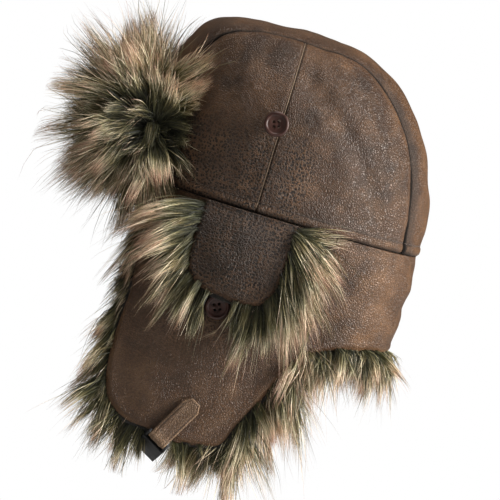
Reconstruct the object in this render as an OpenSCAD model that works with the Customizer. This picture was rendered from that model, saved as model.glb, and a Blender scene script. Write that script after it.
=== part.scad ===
// Trapper hat: a leather crown and skirt, fur pile lining, two earflaps that fold up,
// an ear cover on each earflap, a turned-up fur visor, and a chin strap with a two-part buckle.
// Millimetres. The origin is the middle of the crown's rim. +Z is up through the crown,
// -Y is the wearer's front, and +X is the wearer's left.

/* [Crown] */
// Height of the crown above its rim
crown_height = 144; // [136:1:150]
// Half width of the rim
crown_half_width = 94; // [91:1:95]
// Half length of the rim, front to back
crown_half_length = 115; // [112:1:118]
// Half width of the strip that runs over the top from front to back
strip_half_width = 47; // [42:1:52]
// Place of the side seam along Y
side_seam_y = -18; // [-26:1:-10]
// Thickness of the leather
leather_t = 1.4; // [1.2:0.1:1.6]
// Thickness of the padding under the crown's leather
padding_t = 4; // [3:0.5:5]
// Height of the sweatband inside the rim
sweatband_h = 32; // [26:1:38]

/* [Skirt] */
// Depth of the neck curtain below the rim, at the back
curtain_depth = 80; // [70:1:86]
// Depth of the earflap's leather below the rim
earflap_depth = 188; // [180:1:192]
// Front edge of the earflap along Y
earflap_front_y = -97; // [-98:1:-94]
// Place of the split between earflap and neck curtain along Y
split_y = 50; // [48:1:52]
// Half distance between the two earflaps' leather, low down
cheek_x = 80; // [78:1:82]
// Thickness of the fur pile inside the skirt
pile_t = 15; // [10:1:18]

/* [Ear cover] */
// Width of the ear cover at its hinge
cover_w = 76; // [70:1:80]
// Length of the ear cover
cover_l = 67; // [62:1:70]
// Height of the cover over the earflap where it bulges most
cover_bulge = 13.5; // [12:0.5:15]

/* [Visor] */
// Half angle that the visor takes around the front of the crown
visor_half_angle = 34; // [30:1:36]
// Thickness of the visor's fur in the middle
visor_pile_t = 68; // [56:1:70]

/* [Fittings] */
// Diameter of the buttons
button_d = 20; // [16:0.5:22]
// Thickness of the buttons
button_t = 3.6; // [3:0.2:4.4]
// Width of the chin strap
strap_w = 16; // [14:1:18]
// Length of the chin strap's leather tab
strap_l = 42; // [38:1:46]
// Lean of the chin strap from the vertical, in degrees
strap_lean = 29; // [22:1:34]
// Turn of the buckle about its bar, inward from the strap's own direction, in degrees
buckle_turn = 62; // [50:1:75]

/* [Hidden] */

gap = 0.2;             // between layers of one body
seam = 0.6;            // between panels that are sewn together
rim_power = 2.2;       // superellipse power of the rim's outline
side_power = 3.1;      // power of the crown's profile at its sides
front_power = 5.5;     // at its front, which is nearly upright
back_power = 2.05;     // at its back, which is round
lining_t = 0.8;
skirt_top = -1;        // height of the skirt's upper edge
skirt_settle = 120;    // depth over which the skirt leaves the rim's outline
cheek_curve = 14;      // how far the earflap's front edge lies inside its middle
cheek_span = 80;       // over this distance along Y
cheek_mid_y = -20;
curtain_rise = 19;     // how much lower the skirt's edge is at the split than at the back
front_pile = 24;       // fur beyond the earflap's front edge
curtain_pile = 32;     // fur below the neck curtain
cover_front_y = -58;
cover_pile = 24;       // fur beyond the ear cover's edge
cover_pile_top = -12;  // height where the ear cover's fur starts
crown_button_x = 94.2;
crown_button_y = -21.7;
crown_button_z = 70.6;
crown_button_tilt = 86; // from upright, as the crown's side leans there
thread_pad_x = 91.3;   // where the thread under a crown button starts
earflap_button_y = -25;
earflap_button_z = -79;
button_stand = 8;      // height of the lower button over the earflap
shank_r = 1.6;         // thread that holds the lower button
loop_l = 15;           // from the button's middle up to the elastic loop's bend
loop_r = 4.2;
loop_t = 1.2;
loop_reach = 10.8;     // from the loop's inner face out to the ear cover
bar_y = -39.6;         // the buckle's bar
bar_z = -192.1;
bar_r = 1.5;
bar_clear = 0.3;
ply_t = 1.5;           // one thickness of strap
buckle_w = 21;
buckle_t = 7;
buckle_l = 24;
lug_t = 2;             // the buckle's two lugs, which hold its bar
far = 400;
leather_brown = "#3d2f27";
strap_brown = "#51402f";
fur_olive = "#4a4433";
lining_black = "#1d1a18";
button_maroon = "#2e1f1f";
plastic_black = "#141416";
felt_grey = "#6b675f";

// ---- Surfaces ----

function mix(a, b, t) = a + (b - a) * t;
function smooth(t) = let (c = min(1, max(0, t))) c * c * (3 - 2 * c);

// Half width of the rim's outline at y
function rim_x(y) = crown_half_width
    * pow(1 - pow(abs(y) / crown_half_length, rim_power), 1 / rim_power);

// Distance of the rim's outline from the middle, at angle a around, moved out by o
function rim_radius(a, o) = pow(
    pow(abs(cos(a)) / (crown_half_width + o), rim_power)
    + pow(abs(sin(a)) / (crown_half_length + o), rim_power), -1 / rim_power);

// Power of the crown's upright profile at angle a around
function profile_power(a) = mix(side_power, sin(a) < 0 ? front_power : back_power, pow(sin(a), 2));

// A point on the crown at angle a around and angle b up, moved out by o
function crown_point(a, b, o) = let (
        n = profile_power(a),
        k = pow(pow(cos(b), n) + pow(sin(b), n), -1 / n),
        r = rim_radius(a, o)
    ) [r * k * cos(b) * cos(a), r * k * cos(b) * sin(a), (crown_height + o) * k * sin(b)];

// How far the skirt has left the rim's outline at height z
function settled(z) = smooth(-z / skirt_settle);

// The left earflap's outer surface at y and z
function earflap_x(y, z) = mix(
    rim_x(max(y, -100)),
    cheek_x - cheek_curve * pow((y - cheek_mid_y) / cheek_span, 2),
    settled(z));

// A point on the neck curtain at angle a around and height z, moved out by o
function curtain_point(a, z, o) = let (
        narrow = mix(1, earflap_x(split_y, -skirt_settle) / rim_x(split_y), settled(z)),
        r = rim_radius(a, o)
    ) [r * cos(a) * narrow, r * sin(a), z];

// Height of the skirt's lower edge behind the split
function curtain_edge(y) = let (
        share = (crown_half_length - min(y, crown_half_length)) / (crown_half_length - split_y)
    ) -curtain_depth - curtain_rise * share * share;

// The ear cover's height over the earflap
function cover_rise(z) = 1.2 + cover_bulge * sin(115 * min(1, max(0, (-4 - z) / cover_l)));

// ---- Helpers ----

function quad(a, b, c, d) = [[a, b, c], [a, c, d]];

// A closed solid between two grids of points with the same rows and columns
module grid_solid(outer, inner) {
    rows = len(outer);
    cols = len(outer[0]);
    n = rows * cols;
    points = concat([for (row = outer) each row], [for (row = inner) each row]);
    faces = concat(
        [for (i = [0 : rows - 2], j = [0 : cols - 2])
            each quad(i * cols + j, i * cols + j + 1, (i + 1) * cols + j + 1, (i + 1) * cols + j)],
        [for (i = [0 : rows - 2], j = [0 : cols - 2])
            each quad(n + i * cols + j, n + (i + 1) * cols + j, n + (i + 1) * cols + j + 1,
                n + i * cols + j + 1)],
        [for (i = [0 : rows - 2])
            each quad(i * cols, (i + 1) * cols, n + (i + 1) * cols, n + i * cols)],
        [for (i = [0 : rows - 2])
            each quad(i * cols + cols - 1, n + i * cols + cols - 1, n + (i + 1) * cols + cols - 1,
                (i + 1) * cols + cols - 1)],
        [for (j = [0 : cols - 2]) each quad(j, n + j, n + j + 1, j + 1)],
        [for (j = [0 : cols - 2])
            each quad((rows - 1) * cols + j, (rows - 1) * cols + j + 1,
                n + (rows - 1) * cols + j + 1, n + (rows - 1) * cols + j)]);
    polyhedron(points, faces, convexity = 6);
}

// The crown as a closed layer between two offsets, open at the rim
module crown_layer(o1, o2) {
    cols = 40;
    ups = [0, 9, 19, 29, 38, 47, 56, 66, 77];
    rows = len(ups);
    n = rows * cols;
    points = concat(
        [for (b = ups, j = [0 : cols - 1]) crown_point(360 * j / cols, b, o1)],
        [for (b = ups, j = [0 : cols - 1]) crown_point(360 * j / cols, b, o2)],
        [[0, 0, crown_height + o1], [0, 0, crown_height + o2]]);
    faces = concat(
        [for (i = [0 : rows - 2], j = [0 : cols - 1]) let (k = (j + 1) % cols)
            each quad(i * cols + j, (i + 1) * cols + j, (i + 1) * cols + k, i * cols + k)],
        [for (i = [0 : rows - 2], j = [0 : cols - 1]) let (k = (j + 1) % cols)
            each quad(n + i * cols + j, n + i * cols + k, n + (i + 1) * cols + k,
                n + (i + 1) * cols + j)],
        [for (j = [0 : cols - 1]) let (k = (j + 1) % cols)
            [(rows - 1) * cols + j, 2 * n, (rows - 1) * cols + k]],
        [for (j = [0 : cols - 1]) let (k = (j + 1) % cols)
            [n + (rows - 1) * cols + j, n + (rows - 1) * cols + k, 2 * n + 1]],
        [for (j = [0 : cols - 1]) let (k = (j + 1) % cols) each quad(j, k, n + k, n + j)]);
    polyhedron(points, faces, convexity = 6);
}

// Turns an outline drawn in Y and Z into a block along X
module along_x(from_x, to_x) {
    translate([from_x, 0, 0]) rotate([90, 0, 90]) linear_extrude(to_x - from_x) children();
}

// A slab that follows the earflap between two offsets along X, which may depend on z
module earflap_slab(low, high, z_low, z_high, y_low, y_high) {
    rows = 14;
    cols = 12;
    zs = [for (i = [0 : rows]) mix(z_high, z_low, i / rows)];
    ys = [for (j = [0 : cols]) mix(y_low, y_high, j / cols)];
    grid_solid(
        [for (z = zs) [for (y = ys) [earflap_x(y, z) + high(z), y, z]]],
        [for (z = zs) [for (y = ys) [earflap_x(y, z) + low(z), y, z]]]);
}

module earflap_outline() {
    back = split_y - seam / 2;
    round_r = 10;
    intersection() {
        offset(r = round_r) offset(delta = -round_r) polygon([
            [earflap_front_y, skirt_top + 40], [back, skirt_top + 40],
            [back, curtain_edge(back)], [38, -116], [29, -141], [11, -earflap_depth],
            [-44, -earflap_depth], [-88, -175], [-96, -150], [earflap_front_y, -100]]);
        translate([-far / 2, skirt_top - far]) square(far);
    }
}

module cover_outline() {
    hull() {
        translate([cover_front_y, -8]) square([cover_w, 4]);
        translate([cover_front_y + 20, -51]) circle(r = 19, $fn = 32);
        translate([cover_front_y + cover_w - 23, -50]) circle(r = 21, $fn = 32);
    }
}

// ---- Crown ----

module crown_leather() {
    crown_layer(0, -leather_t);
}

module crown_top_strip() {
    color(leather_brown) intersection() {
        crown_leather();
        translate([-strip_half_width, -far / 2, -1]) cube([2 * strip_half_width, far, far]);
    }
}

// side is 1 on the wearer's left and -1 on the right, and end is -1 at the front and 1 at the rear
module crown_panel(side, end) {
    inner_x = strip_half_width + seam;
    color(leather_brown) intersection() {
        crown_leather();
        translate([side > 0 ? inner_x : -inner_x - far,
            end > 0 ? side_seam_y + seam / 2 : side_seam_y - seam / 2 - far, -1]) cube(far);
    }
}

module crown_padding() {
    color(felt_grey) crown_layer(-leather_t - gap, -leather_t - gap - padding_t);
}

module crown_lining() {
    start = leather_t + 2 * gap + padding_t;
    color(lining_black) crown_layer(-start, -start - lining_t);
}

module sweatband() {
    start = leather_t + 3 * gap + padding_t + lining_t;
    color(lining_black) intersection() {
        crown_layer(-start, -start - 1.6);
        translate([-far / 2, -far / 2, 0.5]) cube([far, far, sweatband_h]);
    }
}

// ---- Buttons ----

// A four-hole button that lies in the XY plane with its face up
module button() {
    disc_t = button_t * 0.6;
    rim_r = 1.3;
    difference() {
        union() {
            cylinder(d = button_d, h = disc_t, $fn = 48);
            rotate_extrude($fn = 48)
                translate([button_d / 2 - rim_r - 0.5, disc_t]) circle(r = rim_r, $fn = 20);
        }
        for (x = [-2, 2], y = [-2, 2])
            translate([x, y, -1]) cylinder(r = 1, h = button_t + 2, $fn = 16);
    }
}

module crown_button(side) {
    color(button_maroon) translate([side * crown_button_x, crown_button_y, crown_button_z])
        rotate([0, side * crown_button_tilt, 0]) button();
}

module crown_button_threads() {
    color(lining_black) for (side = [-1, 1])
        translate([side * thread_pad_x, crown_button_y, crown_button_z])
            rotate([0, side * crown_button_tilt, 0]) cylinder(r = 3.2, h = 2.7, $fn = 24);
}

module earflap_button() {
    color(button_maroon) translate([lower_button_x(), earflap_button_y, earflap_button_z])
        rotate([0, 90, 0]) button();
}

function lower_button_x() = earflap_x(earflap_button_y, earflap_button_z) + button_stand;

module earflap_button_thread() {
    color(lining_black)
        translate([lower_button_x() - button_stand + 0.5, earflap_button_y, earflap_button_z])
            rotate([0, 90, 0]) cylinder(r = shank_r, h = button_stand - 0.6, $fn = 24);
}

// ---- Neck curtain ----

curtain_from = atan2(split_y, rim_x(split_y)) - 6;

module behind_split() {
    intersection() {
        children();
        translate([-far / 2, split_y + seam / 2, -far]) cube([far, far, 2 * far]);
    }
}

function curtain_angles() = [for (j = [0 : 28]) mix(curtain_from, 180 - curtain_from, j / 28)];

module neck_curtain() {
    function row(t, o) = [for (a = curtain_angles())
        let (edge = curtain_edge(curtain_point(a, 0, 0)[1])) curtain_point(a, mix(skirt_top, edge, t), o)];
    color(leather_brown) behind_split() grid_solid(
        [for (i = [0 : 7]) row(i / 7, 0)],
        [for (i = [0 : 7]) row(i / 7, -leather_t)]);
}

module neck_curtain_fur() {
    // depth as a share of the curtain's, then as a length below its edge, and the outer offset
    steps = [[0.05, 0, -leather_t - gap], [0.35, 0, -leather_t - gap], [0.7, 0, -leather_t - gap],
        [1, 0, -leather_t - gap], [1, 2, -leather_t - gap], [1, 10, 5], [1, 22, 11],
        [1, curtain_pile, 12]];
    function row(s, o) = [for (a = curtain_angles())
        let (edge = curtain_edge(curtain_point(a, 0, 0)[1])) curtain_point(a, edge * s[0] - s[1], o)];
    color(fur_olive) behind_split() grid_solid(
        [for (s = steps) row(s, s[2])],
        [for (s = steps) row(s, -leather_t - gap - pile_t)]);
}

// ---- Visor ----

function visor_angles(grow) = [for (j = [0 : 12])
    -90 + mix(-visor_half_angle - grow, visor_half_angle + grow, j / 12)];
function visor_ups(grow) = [for (i = [0 : 8]) mix(32 + grow, 1.5, i / 8)];

module visor_layer(o1, o2, grow) {
    color(leather_brown) grid_solid(
        [for (b = visor_ups(grow)) [for (a = visor_angles(grow)) crown_point(a, b, o2)]],
        [for (b = visor_ups(grow)) [for (a = visor_angles(grow)) crown_point(a, b, o1)]]);
}

module visor_shell() {
    visor_layer(1.2, 1.2 + leather_t, 0);
}

module visor_stiffener() {
    visor_layer(1.2 + leather_t + gap, 1.2 + leather_t + gap + 1.2, -2);
}

// The fur stands out from a point behind the visor, so that it fans past the visor's edges
module visor_fur() {
    heart = [0, -36, 40];
    base = 1.2 + leather_t + 2 * gap + 1.2;
    ups = visor_ups(2);
    angles = visor_angles(3);
    edge_t = 10;
    function swell(u) = sqrt(max(0, 1 - pow(abs(u), 2.6)));
    function depth(i, j) = edge_t + (visor_pile_t - edge_t) * swell((j - 6) / 6) * swell((i - 4) / 4);
    function grown(p, d) = p + (p - heart) * d / norm(p - heart);
    color(fur_olive) intersection() {
        grid_solid(
            [for (i = [0 : 8]) [for (j = [0 : 12])
                grown(crown_point(angles[j], ups[i], base), depth(i, j))]],
            [for (i = [0 : 8]) [for (j = [0 : 12]) crown_point(angles[j], ups[i], base)]]);
        translate([-far / 2, -far, skirt_top + 1]) cube([far, far, far]);
    }
}

// ---- Earflap, drawn on the left ----

module earflap() {
    color(leather_brown) intersection() {
        earflap_slab(function (z) -leather_t, function (z) 0, -earflap_depth - 4, 0, -110, split_y + 2);
        along_x(0, far) earflap_outline();
    }
}

module earflap_fur() {
    color(fur_olive) difference() {
        intersection() {
            earflap_slab(function (z) -leather_t - gap - pile_t, function (z) -leather_t - gap,
                -earflap_depth - 38, -3, earflap_front_y - 30, split_y + 2);
            along_x(0, far) intersection() {
                offset(r = front_pile) earflap_outline();
                translate([-far / 2, -far]) square([far / 2 + split_y - seam / 2, far - 4]);
            }
        }
        in_strap_frame() translate([-35, -buckle_w / 2 - 3, -44]) cube([50, buckle_w + 6, 62]);
    }
}

// The strap's frame has its origin at the buckle's bar, -Z down along the strap and X outwards
module in_strap_frame() {
    translate([cheek_x + 0.5 + ply_t, bar_y, bar_z]) rotate([-strap_lean, 0, 0]) children();
}

module strap() {
    loop_r = bar_r + bar_clear;
    color(strap_brown) in_strap_frame() {
        difference() {
            union() {
                rotate([90, 0, 0]) cylinder(r = loop_r + ply_t, h = strap_w, center = true, $fn = 40);
                along_x(-ply_t, ply_t) polygon([
                    [-strap_w / 2, 0], [strap_w / 2, 0], [strap_w / 2, strap_l - 6],
                    [strap_w / 2 - 4, strap_l], [4 - strap_w / 2, strap_l],
                    [-strap_w / 2, strap_l - 6]]);
            }
            rotate([90, 0, 0]) cylinder(r = loop_r, h = strap_w + 2, center = true, $fn = 40);
        }
    }
}

// ---- Ear cover, drawn on the left ----

module cover_slab(low, high, z_low, y_low, y_high) {
    rows = 12;
    cols = 10;
    zs = [for (i = [0 : rows]) mix(-4, z_low, i / rows)];
    ys = [for (j = [0 : cols]) mix(y_low, y_high, j / cols)];
    grid_solid(
        [for (z = zs) [for (y = ys) [earflap_x(y, z) + high(z), y, z]]],
        [for (z = zs) [for (y = ys) [earflap_x(y, z) + low(z), y, z]]]);
}

module ear_cover() {
    color(leather_brown) intersection() {
        cover_slab(function (z) cover_rise(z), function (z) cover_rise(z) + leather_t,
            -cover_l - 6, cover_front_y - 2, cover_front_y + cover_w + 2);
        along_x(0, far) cover_outline();
    }
}

module ear_cover_fur() {
    color(fur_olive) difference() {
        intersection() {
            cover_slab(function (z) 0.5, function (z) cover_rise(z) - 0.3,
                -cover_l - 32, cover_front_y - 26, split_y + 2);
            along_x(0, far) intersection() {
                offset(r = cover_pile) cover_outline();
                translate([-far / 2, -far]) square([far / 2 + split_y - 1, far + cover_pile_top]);
            }
        }
        translate([0, earflap_button_y, earflap_button_z]) rotate([0, 90, 0])
            cylinder(d = button_d + 3, h = far, $fn = 32);
        loop_band(1);
    }
}

// A flat band that goes up from the button's shank and then out to the cover, grown all round
module loop_band(grow) {
    translate([lower_button_x() - 2.6, earflap_button_y, earflap_button_z]) {
        translate([-grow, 0, 0]) rotate([0, 90, 0]) hull() for (up = [0, loop_l])
            translate([-up, 0, 0]) cylinder(r = loop_r + grow, h = loop_t + 2 * grow, $fn = 32);
        translate([-grow, -loop_r - grow, loop_l - grow])
            cube([loop_reach + 2 * grow, 2 * (loop_r + grow), loop_t + 2 * grow]);
    }
}

// An elastic loop sewn inside the cover, which hangs over the button's shank
module ear_cover_loop() {
    color(plastic_black) difference() {
        loop_band(0);
        translate([lower_button_x() - 4, earflap_button_y, earflap_button_z]) rotate([0, 90, 0])
            hull() for (up = [0, loop_l - 4])
                translate([-up, 0, 0]) cylinder(r = loop_r - 1.5, h = 5, $fn = 32);
    }
}

// ---- Buckle, drawn on the left ----

// The buckle's own frame has its bar along Y at the origin and its body along -Z
module in_buckle_frame() {
    in_strap_frame() rotate([0, buckle_turn, 0]) children();
}

module buckle_bar_frame() {
    rotate([90, 0, 0]) cylinder(r = bar_r, h = buckle_w - 2, center = true, $fn = 32);
    for (side = [-1, 1])
        translate([-2, side * (buckle_w - lug_t - 0.4) / 2 - lug_t / 2, -7]) cube([4, lug_t, 9]);
}

module buckle_socket() {
    color(plastic_black) in_buckle_frame() {
        buckle_bar_frame();
        difference() {
            translate([-buckle_t / 2, -buckle_w / 2, -6 - buckle_l]) cube([buckle_t, buckle_w, buckle_l]);
            translate([-2.1, -buckle_w / 2 + 1.8, -7 - buckle_l]) cube([4.2, buckle_w - 3.6, buckle_l - 2]);
            for (side = [-1, 1]) translate([-1.6, side * buckle_w / 2 - 3, -22]) cube([3.2, 6, 11]);
        }
    }
}

module buckle_plug() {
    color(plastic_black) in_buckle_frame() {
        buckle_bar_frame();
        translate([-buckle_t / 2, -buckle_w / 2, -12]) cube([buckle_t, buckle_w, 6]);
        translate([-1.6, -1.6, -28]) cube([3.2, 3.2, 17]);
        for (side = [-1, 1]) {
            translate([-1.6, side * 6.2 - 1.1, -24]) cube([3.2, 2.2, 13]);
            translate([-1.6, side * 6.7 - 1.7, -29]) cube([3.2, 3.4, 7]);
        }
    }
}

module right_side() {
    mirror([1, 0, 0]) children();
}

crown_top_strip();
crown_panel(1, -1);  // crown_front_left_panel
crown_panel(1, 1);  // crown_rear_left_panel
crown_panel(-1, -1);  // crown_front_right_panel
crown_panel(-1, 1);  // crown_rear_right_panel
crown_padding();
crown_lining();
sweatband();
crown_button(1);  // left_crown_button
crown_button(-1);  // right_crown_button
crown_button_threads();
neck_curtain();
neck_curtain_fur();
visor_shell();
visor_stiffener();
visor_fur();
earflap();  // left_earflap
earflap_fur();  // left_earflap_fur
earflap_button();  // left_earflap_button
earflap_button_thread();  // left_earflap_button_thread
strap();  // left_strap
right_side() earflap();  // right_earflap
right_side() earflap_fur();  // right_earflap_fur
right_side() earflap_button();  // right_earflap_button
right_side() earflap_button_thread();  // right_earflap_button_thread
right_side() strap();  // right_strap
ear_cover();  // left_ear_cover
ear_cover_fur();  // left_ear_cover_fur
ear_cover_loop();  // left_ear_cover_loop
right_side() ear_cover();  // right_ear_cover
right_side() ear_cover_fur();  // right_ear_cover_fur
right_side() ear_cover_loop();  // right_ear_cover_loop
buckle_socket();
right_side() buckle_plug();
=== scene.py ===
"""Looks of the trapper hat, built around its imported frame.

Everything is in metres, in the frame of the CAD model: the origin is the middle of the crown's rim,
+Z is up through the crown, -Y is the wearer's front and +X is the wearer's left.
"""

import math

import bmesh
import bpy
import numpy as np
from mathutils import Matrix, Vector, noise


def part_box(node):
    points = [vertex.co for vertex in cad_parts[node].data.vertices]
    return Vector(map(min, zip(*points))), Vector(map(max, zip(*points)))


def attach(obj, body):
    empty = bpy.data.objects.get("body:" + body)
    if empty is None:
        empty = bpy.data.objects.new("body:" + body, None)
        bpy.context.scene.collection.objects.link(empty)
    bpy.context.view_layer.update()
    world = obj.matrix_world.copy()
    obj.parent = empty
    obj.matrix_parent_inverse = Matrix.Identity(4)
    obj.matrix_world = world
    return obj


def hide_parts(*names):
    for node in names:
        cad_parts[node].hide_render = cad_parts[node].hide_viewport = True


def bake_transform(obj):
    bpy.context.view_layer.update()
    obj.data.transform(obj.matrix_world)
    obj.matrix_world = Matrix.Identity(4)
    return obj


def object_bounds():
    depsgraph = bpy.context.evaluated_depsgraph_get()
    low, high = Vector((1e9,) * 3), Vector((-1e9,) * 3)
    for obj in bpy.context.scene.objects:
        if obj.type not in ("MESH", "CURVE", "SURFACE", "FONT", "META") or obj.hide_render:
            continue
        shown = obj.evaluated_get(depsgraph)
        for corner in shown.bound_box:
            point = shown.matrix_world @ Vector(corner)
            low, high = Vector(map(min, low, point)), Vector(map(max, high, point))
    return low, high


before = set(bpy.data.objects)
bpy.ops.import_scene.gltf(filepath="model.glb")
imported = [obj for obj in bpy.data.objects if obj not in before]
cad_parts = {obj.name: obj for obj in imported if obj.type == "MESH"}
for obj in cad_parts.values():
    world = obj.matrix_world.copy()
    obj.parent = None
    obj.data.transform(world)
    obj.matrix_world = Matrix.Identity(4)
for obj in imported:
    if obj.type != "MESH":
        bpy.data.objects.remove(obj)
cad_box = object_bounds()

# ---- Driving sizes, in metres ----

MM = 0.001
STRIP_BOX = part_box("crown_top_strip")
HALF_LENGTH = STRIP_BOX[1][1]
CROWN_HEIGHT = STRIP_BOX[1][2]
STRIP_HALF = STRIP_BOX[1][0]
HALF_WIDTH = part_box("crown_rear_left_panel")[1][0]
SIDE_SEAM_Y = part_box("crown_front_left_panel")[1][1] + 0.3 * MM
SPLIT_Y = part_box("left_earflap")[1][1] + 0.3 * MM
LEATHER_T = 1.4 * MM
RIM_POWER = 2.2        # superellipse power of the rim's outline
SIDE_POWER = 3.1       # power of the crown's upright profile at its sides
FRONT_POWER = 5.5      # at its front
BACK_POWER = 2.05      # at its back
CHEEK_X = 80 * MM      # half distance between the earflaps, low down
CHEEK_CURVE = 14 * MM
CHEEK_SPAN = 80 * MM
CHEEK_MID_Y = -20 * MM
SETTLE = 120 * MM      # depth over which the skirt leaves the rim's outline
CURTAIN_DEPTH = 80 * MM
CURTAIN_RISE = 19 * MM
COVER_BULGE = 13.5 * MM
BUTTON_R = 10 * MM
CROWN_BUTTON = (-21.7 * MM, 70.6 * MM)   # y and z of its middle
CROWN_BUTTON_X = 94.2 * MM
FLAP_BUTTON = (-25 * MM, -79 * MM)
FLAP_BUTTON_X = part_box("left_earflap_button")[0][0]
LINING_INSET = 7.6 * MM     # the lining and the sweatband, inwards of the crown's surface
BAND_INSET = 9.6 * MM
STRAP_LEAN = math.radians(29)
BAR = Vector((82 * MM, -39.6 * MM, -192.1 * MM))
SIDES = (("left", 1), ("right", -1))
FLOOR_Z = -300 * MM


def rgb(r, g, b):
    """Linear colour of an sRGB colour with channels from 0 to 255."""
    def linear(c):
        c /= 255
        return c / 12.92 if c <= 0.04045 else ((c + 0.055) / 1.055) ** 2.4
    return (linear(r), linear(g), linear(b), 1)


# ---- Surfaces of the hat ----

def smooth(t):
    t = np.clip(t, 0, 1)
    return t * t * (3 - 2 * t)


def rim_x(y):
    """Half width of the rim's outline at y."""
    return HALF_WIDTH * (1 - np.abs(y / HALF_LENGTH) ** RIM_POWER) ** (1 / RIM_POWER)


def rim_radius(a, o=0.0):
    """Distance of the rim's outline from the middle, at angle a around, moved out by o."""
    return ((np.abs(np.cos(a)) / (HALF_WIDTH + o)) ** RIM_POWER
            + (np.abs(np.sin(a)) / (HALF_LENGTH + o)) ** RIM_POWER) ** (-1 / RIM_POWER)


def profile_power(a):
    s = np.sin(a)
    return SIDE_POWER + (np.where(s < 0, FRONT_POWER, BACK_POWER) - SIDE_POWER) * s * s


def crown_point(a, b, o=0.0):
    """Points on the crown at angle a around and angle b up, moved out by o."""
    n = profile_power(a)
    k = (np.cos(b) ** n + np.sin(b) ** n) ** (-1 / n)
    r = rim_radius(a, o) * k * np.cos(b)
    return np.stack([r * np.cos(a), r * np.sin(a), (CROWN_HEIGHT + o) * k * np.sin(b)], -1)


def crown_field(p, o=0.0):
    """1 on the crown moved out by o, less inside and more outside, and the power that it grows with."""
    a = np.arctan2(p[..., 1], p[..., 0])
    n = profile_power(a)
    flat = np.hypot(p[..., 0], p[..., 1]) / rim_radius(a, o)
    return flat ** n + (np.maximum(p[..., 2], 0) / (CROWN_HEIGHT + o)) ** n, n


def crown_normal(p):
    step = 0.2 * MM
    out = np.zeros_like(p)
    for axis in range(3):
        d = np.zeros(3)
        d[axis] = step
        out[..., axis] = (crown_field(p + d)[0] ** 0.5 - crown_field(p - d)[0] ** 0.5)
    return unit(out)


def settled(z):
    return smooth(-z / SETTLE)


def earflap_x(y, z):
    """The left earflap's outer surface at y and z."""
    top = rim_x(np.clip(y, -100 * MM, 100 * MM))
    cheek = CHEEK_X - CHEEK_CURVE * ((y - CHEEK_MID_Y) / CHEEK_SPAN) ** 2
    return top + (cheek - top) * settled(z)


def curtain_point(a, z, o=0.0):
    """Points on the neck curtain at angle a around and height z, moved out by o."""
    narrow = 1 + (earflap_x(SPLIT_Y, -SETTLE) / rim_x(SPLIT_Y) - 1) * settled(z)
    r = rim_radius(a, o)
    return np.stack([r * np.cos(a) * narrow, r * np.sin(a), z + 0 * a], -1)


def curtain_edge(y):
    """Height of the skirt's lower edge behind the split."""
    share = (HALF_LENGTH - np.minimum(y, HALF_LENGTH)) / (HALF_LENGTH - SPLIT_Y)
    return -CURTAIN_DEPTH - CURTAIN_RISE * share ** 2


def cover_rise(z):
    """The ear cover's height over the earflap."""
    return 1.2 * MM + COVER_BULGE * np.sin(np.radians(115) * np.clip((-4 * MM - z) / (67 * MM), 0, 1))


# ---- Small tools ----

def unit(v):
    return v / np.maximum(np.linalg.norm(v, axis=-1, keepdims=True), 1e-12)


def ripple(p, scale, seed=0, octaves=2):
    """Smooth noise from about -1 to 1 at points p, with features of the given size."""
    out = np.empty(len(p))
    shift = Vector((seed * 17.3, seed * 5.1, seed * 9.7))
    for i, q in enumerate(p):
        out[i] = noise.fractal(Vector(q) / scale + shift, 0.6, 2.0, octaves)
    return out


def bell(d, width):
    return np.exp(-(d / width) ** 2)


def grid_faces(rows, cols, closed=False):
    """Quads of a grid of points in row order."""
    last = cols if closed else cols - 1
    return [(i * cols + j, i * cols + (j + 1) % cols, (i + 1) * cols + (j + 1) % cols,
             (i + 1) * cols + j) for i in range(rows - 1) for j in range(last)]


def mesh_object(name, verts, faces, material, smooth_faces=True):
    mesh = bpy.data.meshes.new(name)
    mesh.from_pydata([tuple(v) for v in verts], [], faces)
    mesh.validate()
    mesh.update()
    if smooth_faces:
        mesh.polygons.foreach_set("use_smooth", [True] * len(mesh.polygons))
    mesh.materials.append(material)
    obj = bpy.data.objects.new(name, mesh)
    bpy.context.scene.collection.objects.link(obj)
    return obj


def shell(name, outer, inner, faces, material):
    """A closed skin between two sets of points that share their faces."""
    n = len(outer)
    used = {}
    for f in faces:
        for i, j in zip(f, f[1:] + f[:1]):
            used[(i, j)] = True
    rim = [(i, j) for (i, j) in used if (j, i) not in used]
    all_faces = (list(faces) + [tuple(n + i for i in reversed(f)) for f in faces]
                 + [(j, i, n + i, n + j) for i, j in rim])
    return mesh_object(name, np.concatenate([outer, inner]), all_faces, material)


def add_attribute(obj, name, values):
    attribute = obj.data.attributes.new(name, "FLOAT", "POINT")
    attribute.data.foreach_set("value", np.asarray(values, np.float32))


def joined(name, parts, material):
    """One object from several (verts, faces) pairs."""
    verts, faces, start = [], [], 0
    for v, f in parts:
        verts.append(np.asarray(v, float))
        faces += [tuple(start + i for i in g) for g in f]
        start += len(v)
    return mesh_object(name, np.concatenate(verts), faces, material)


def mirrored(points):
    return np.asarray(points) * np.array([-1, 1, 1])


def for_side(side, verts, faces):
    """Points drawn for the left, and their faces, turned into those of either side."""
    if side > 0:
        return verts, faces
    return mirrored(verts), [tuple(reversed(f)) for f in faces]


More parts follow.
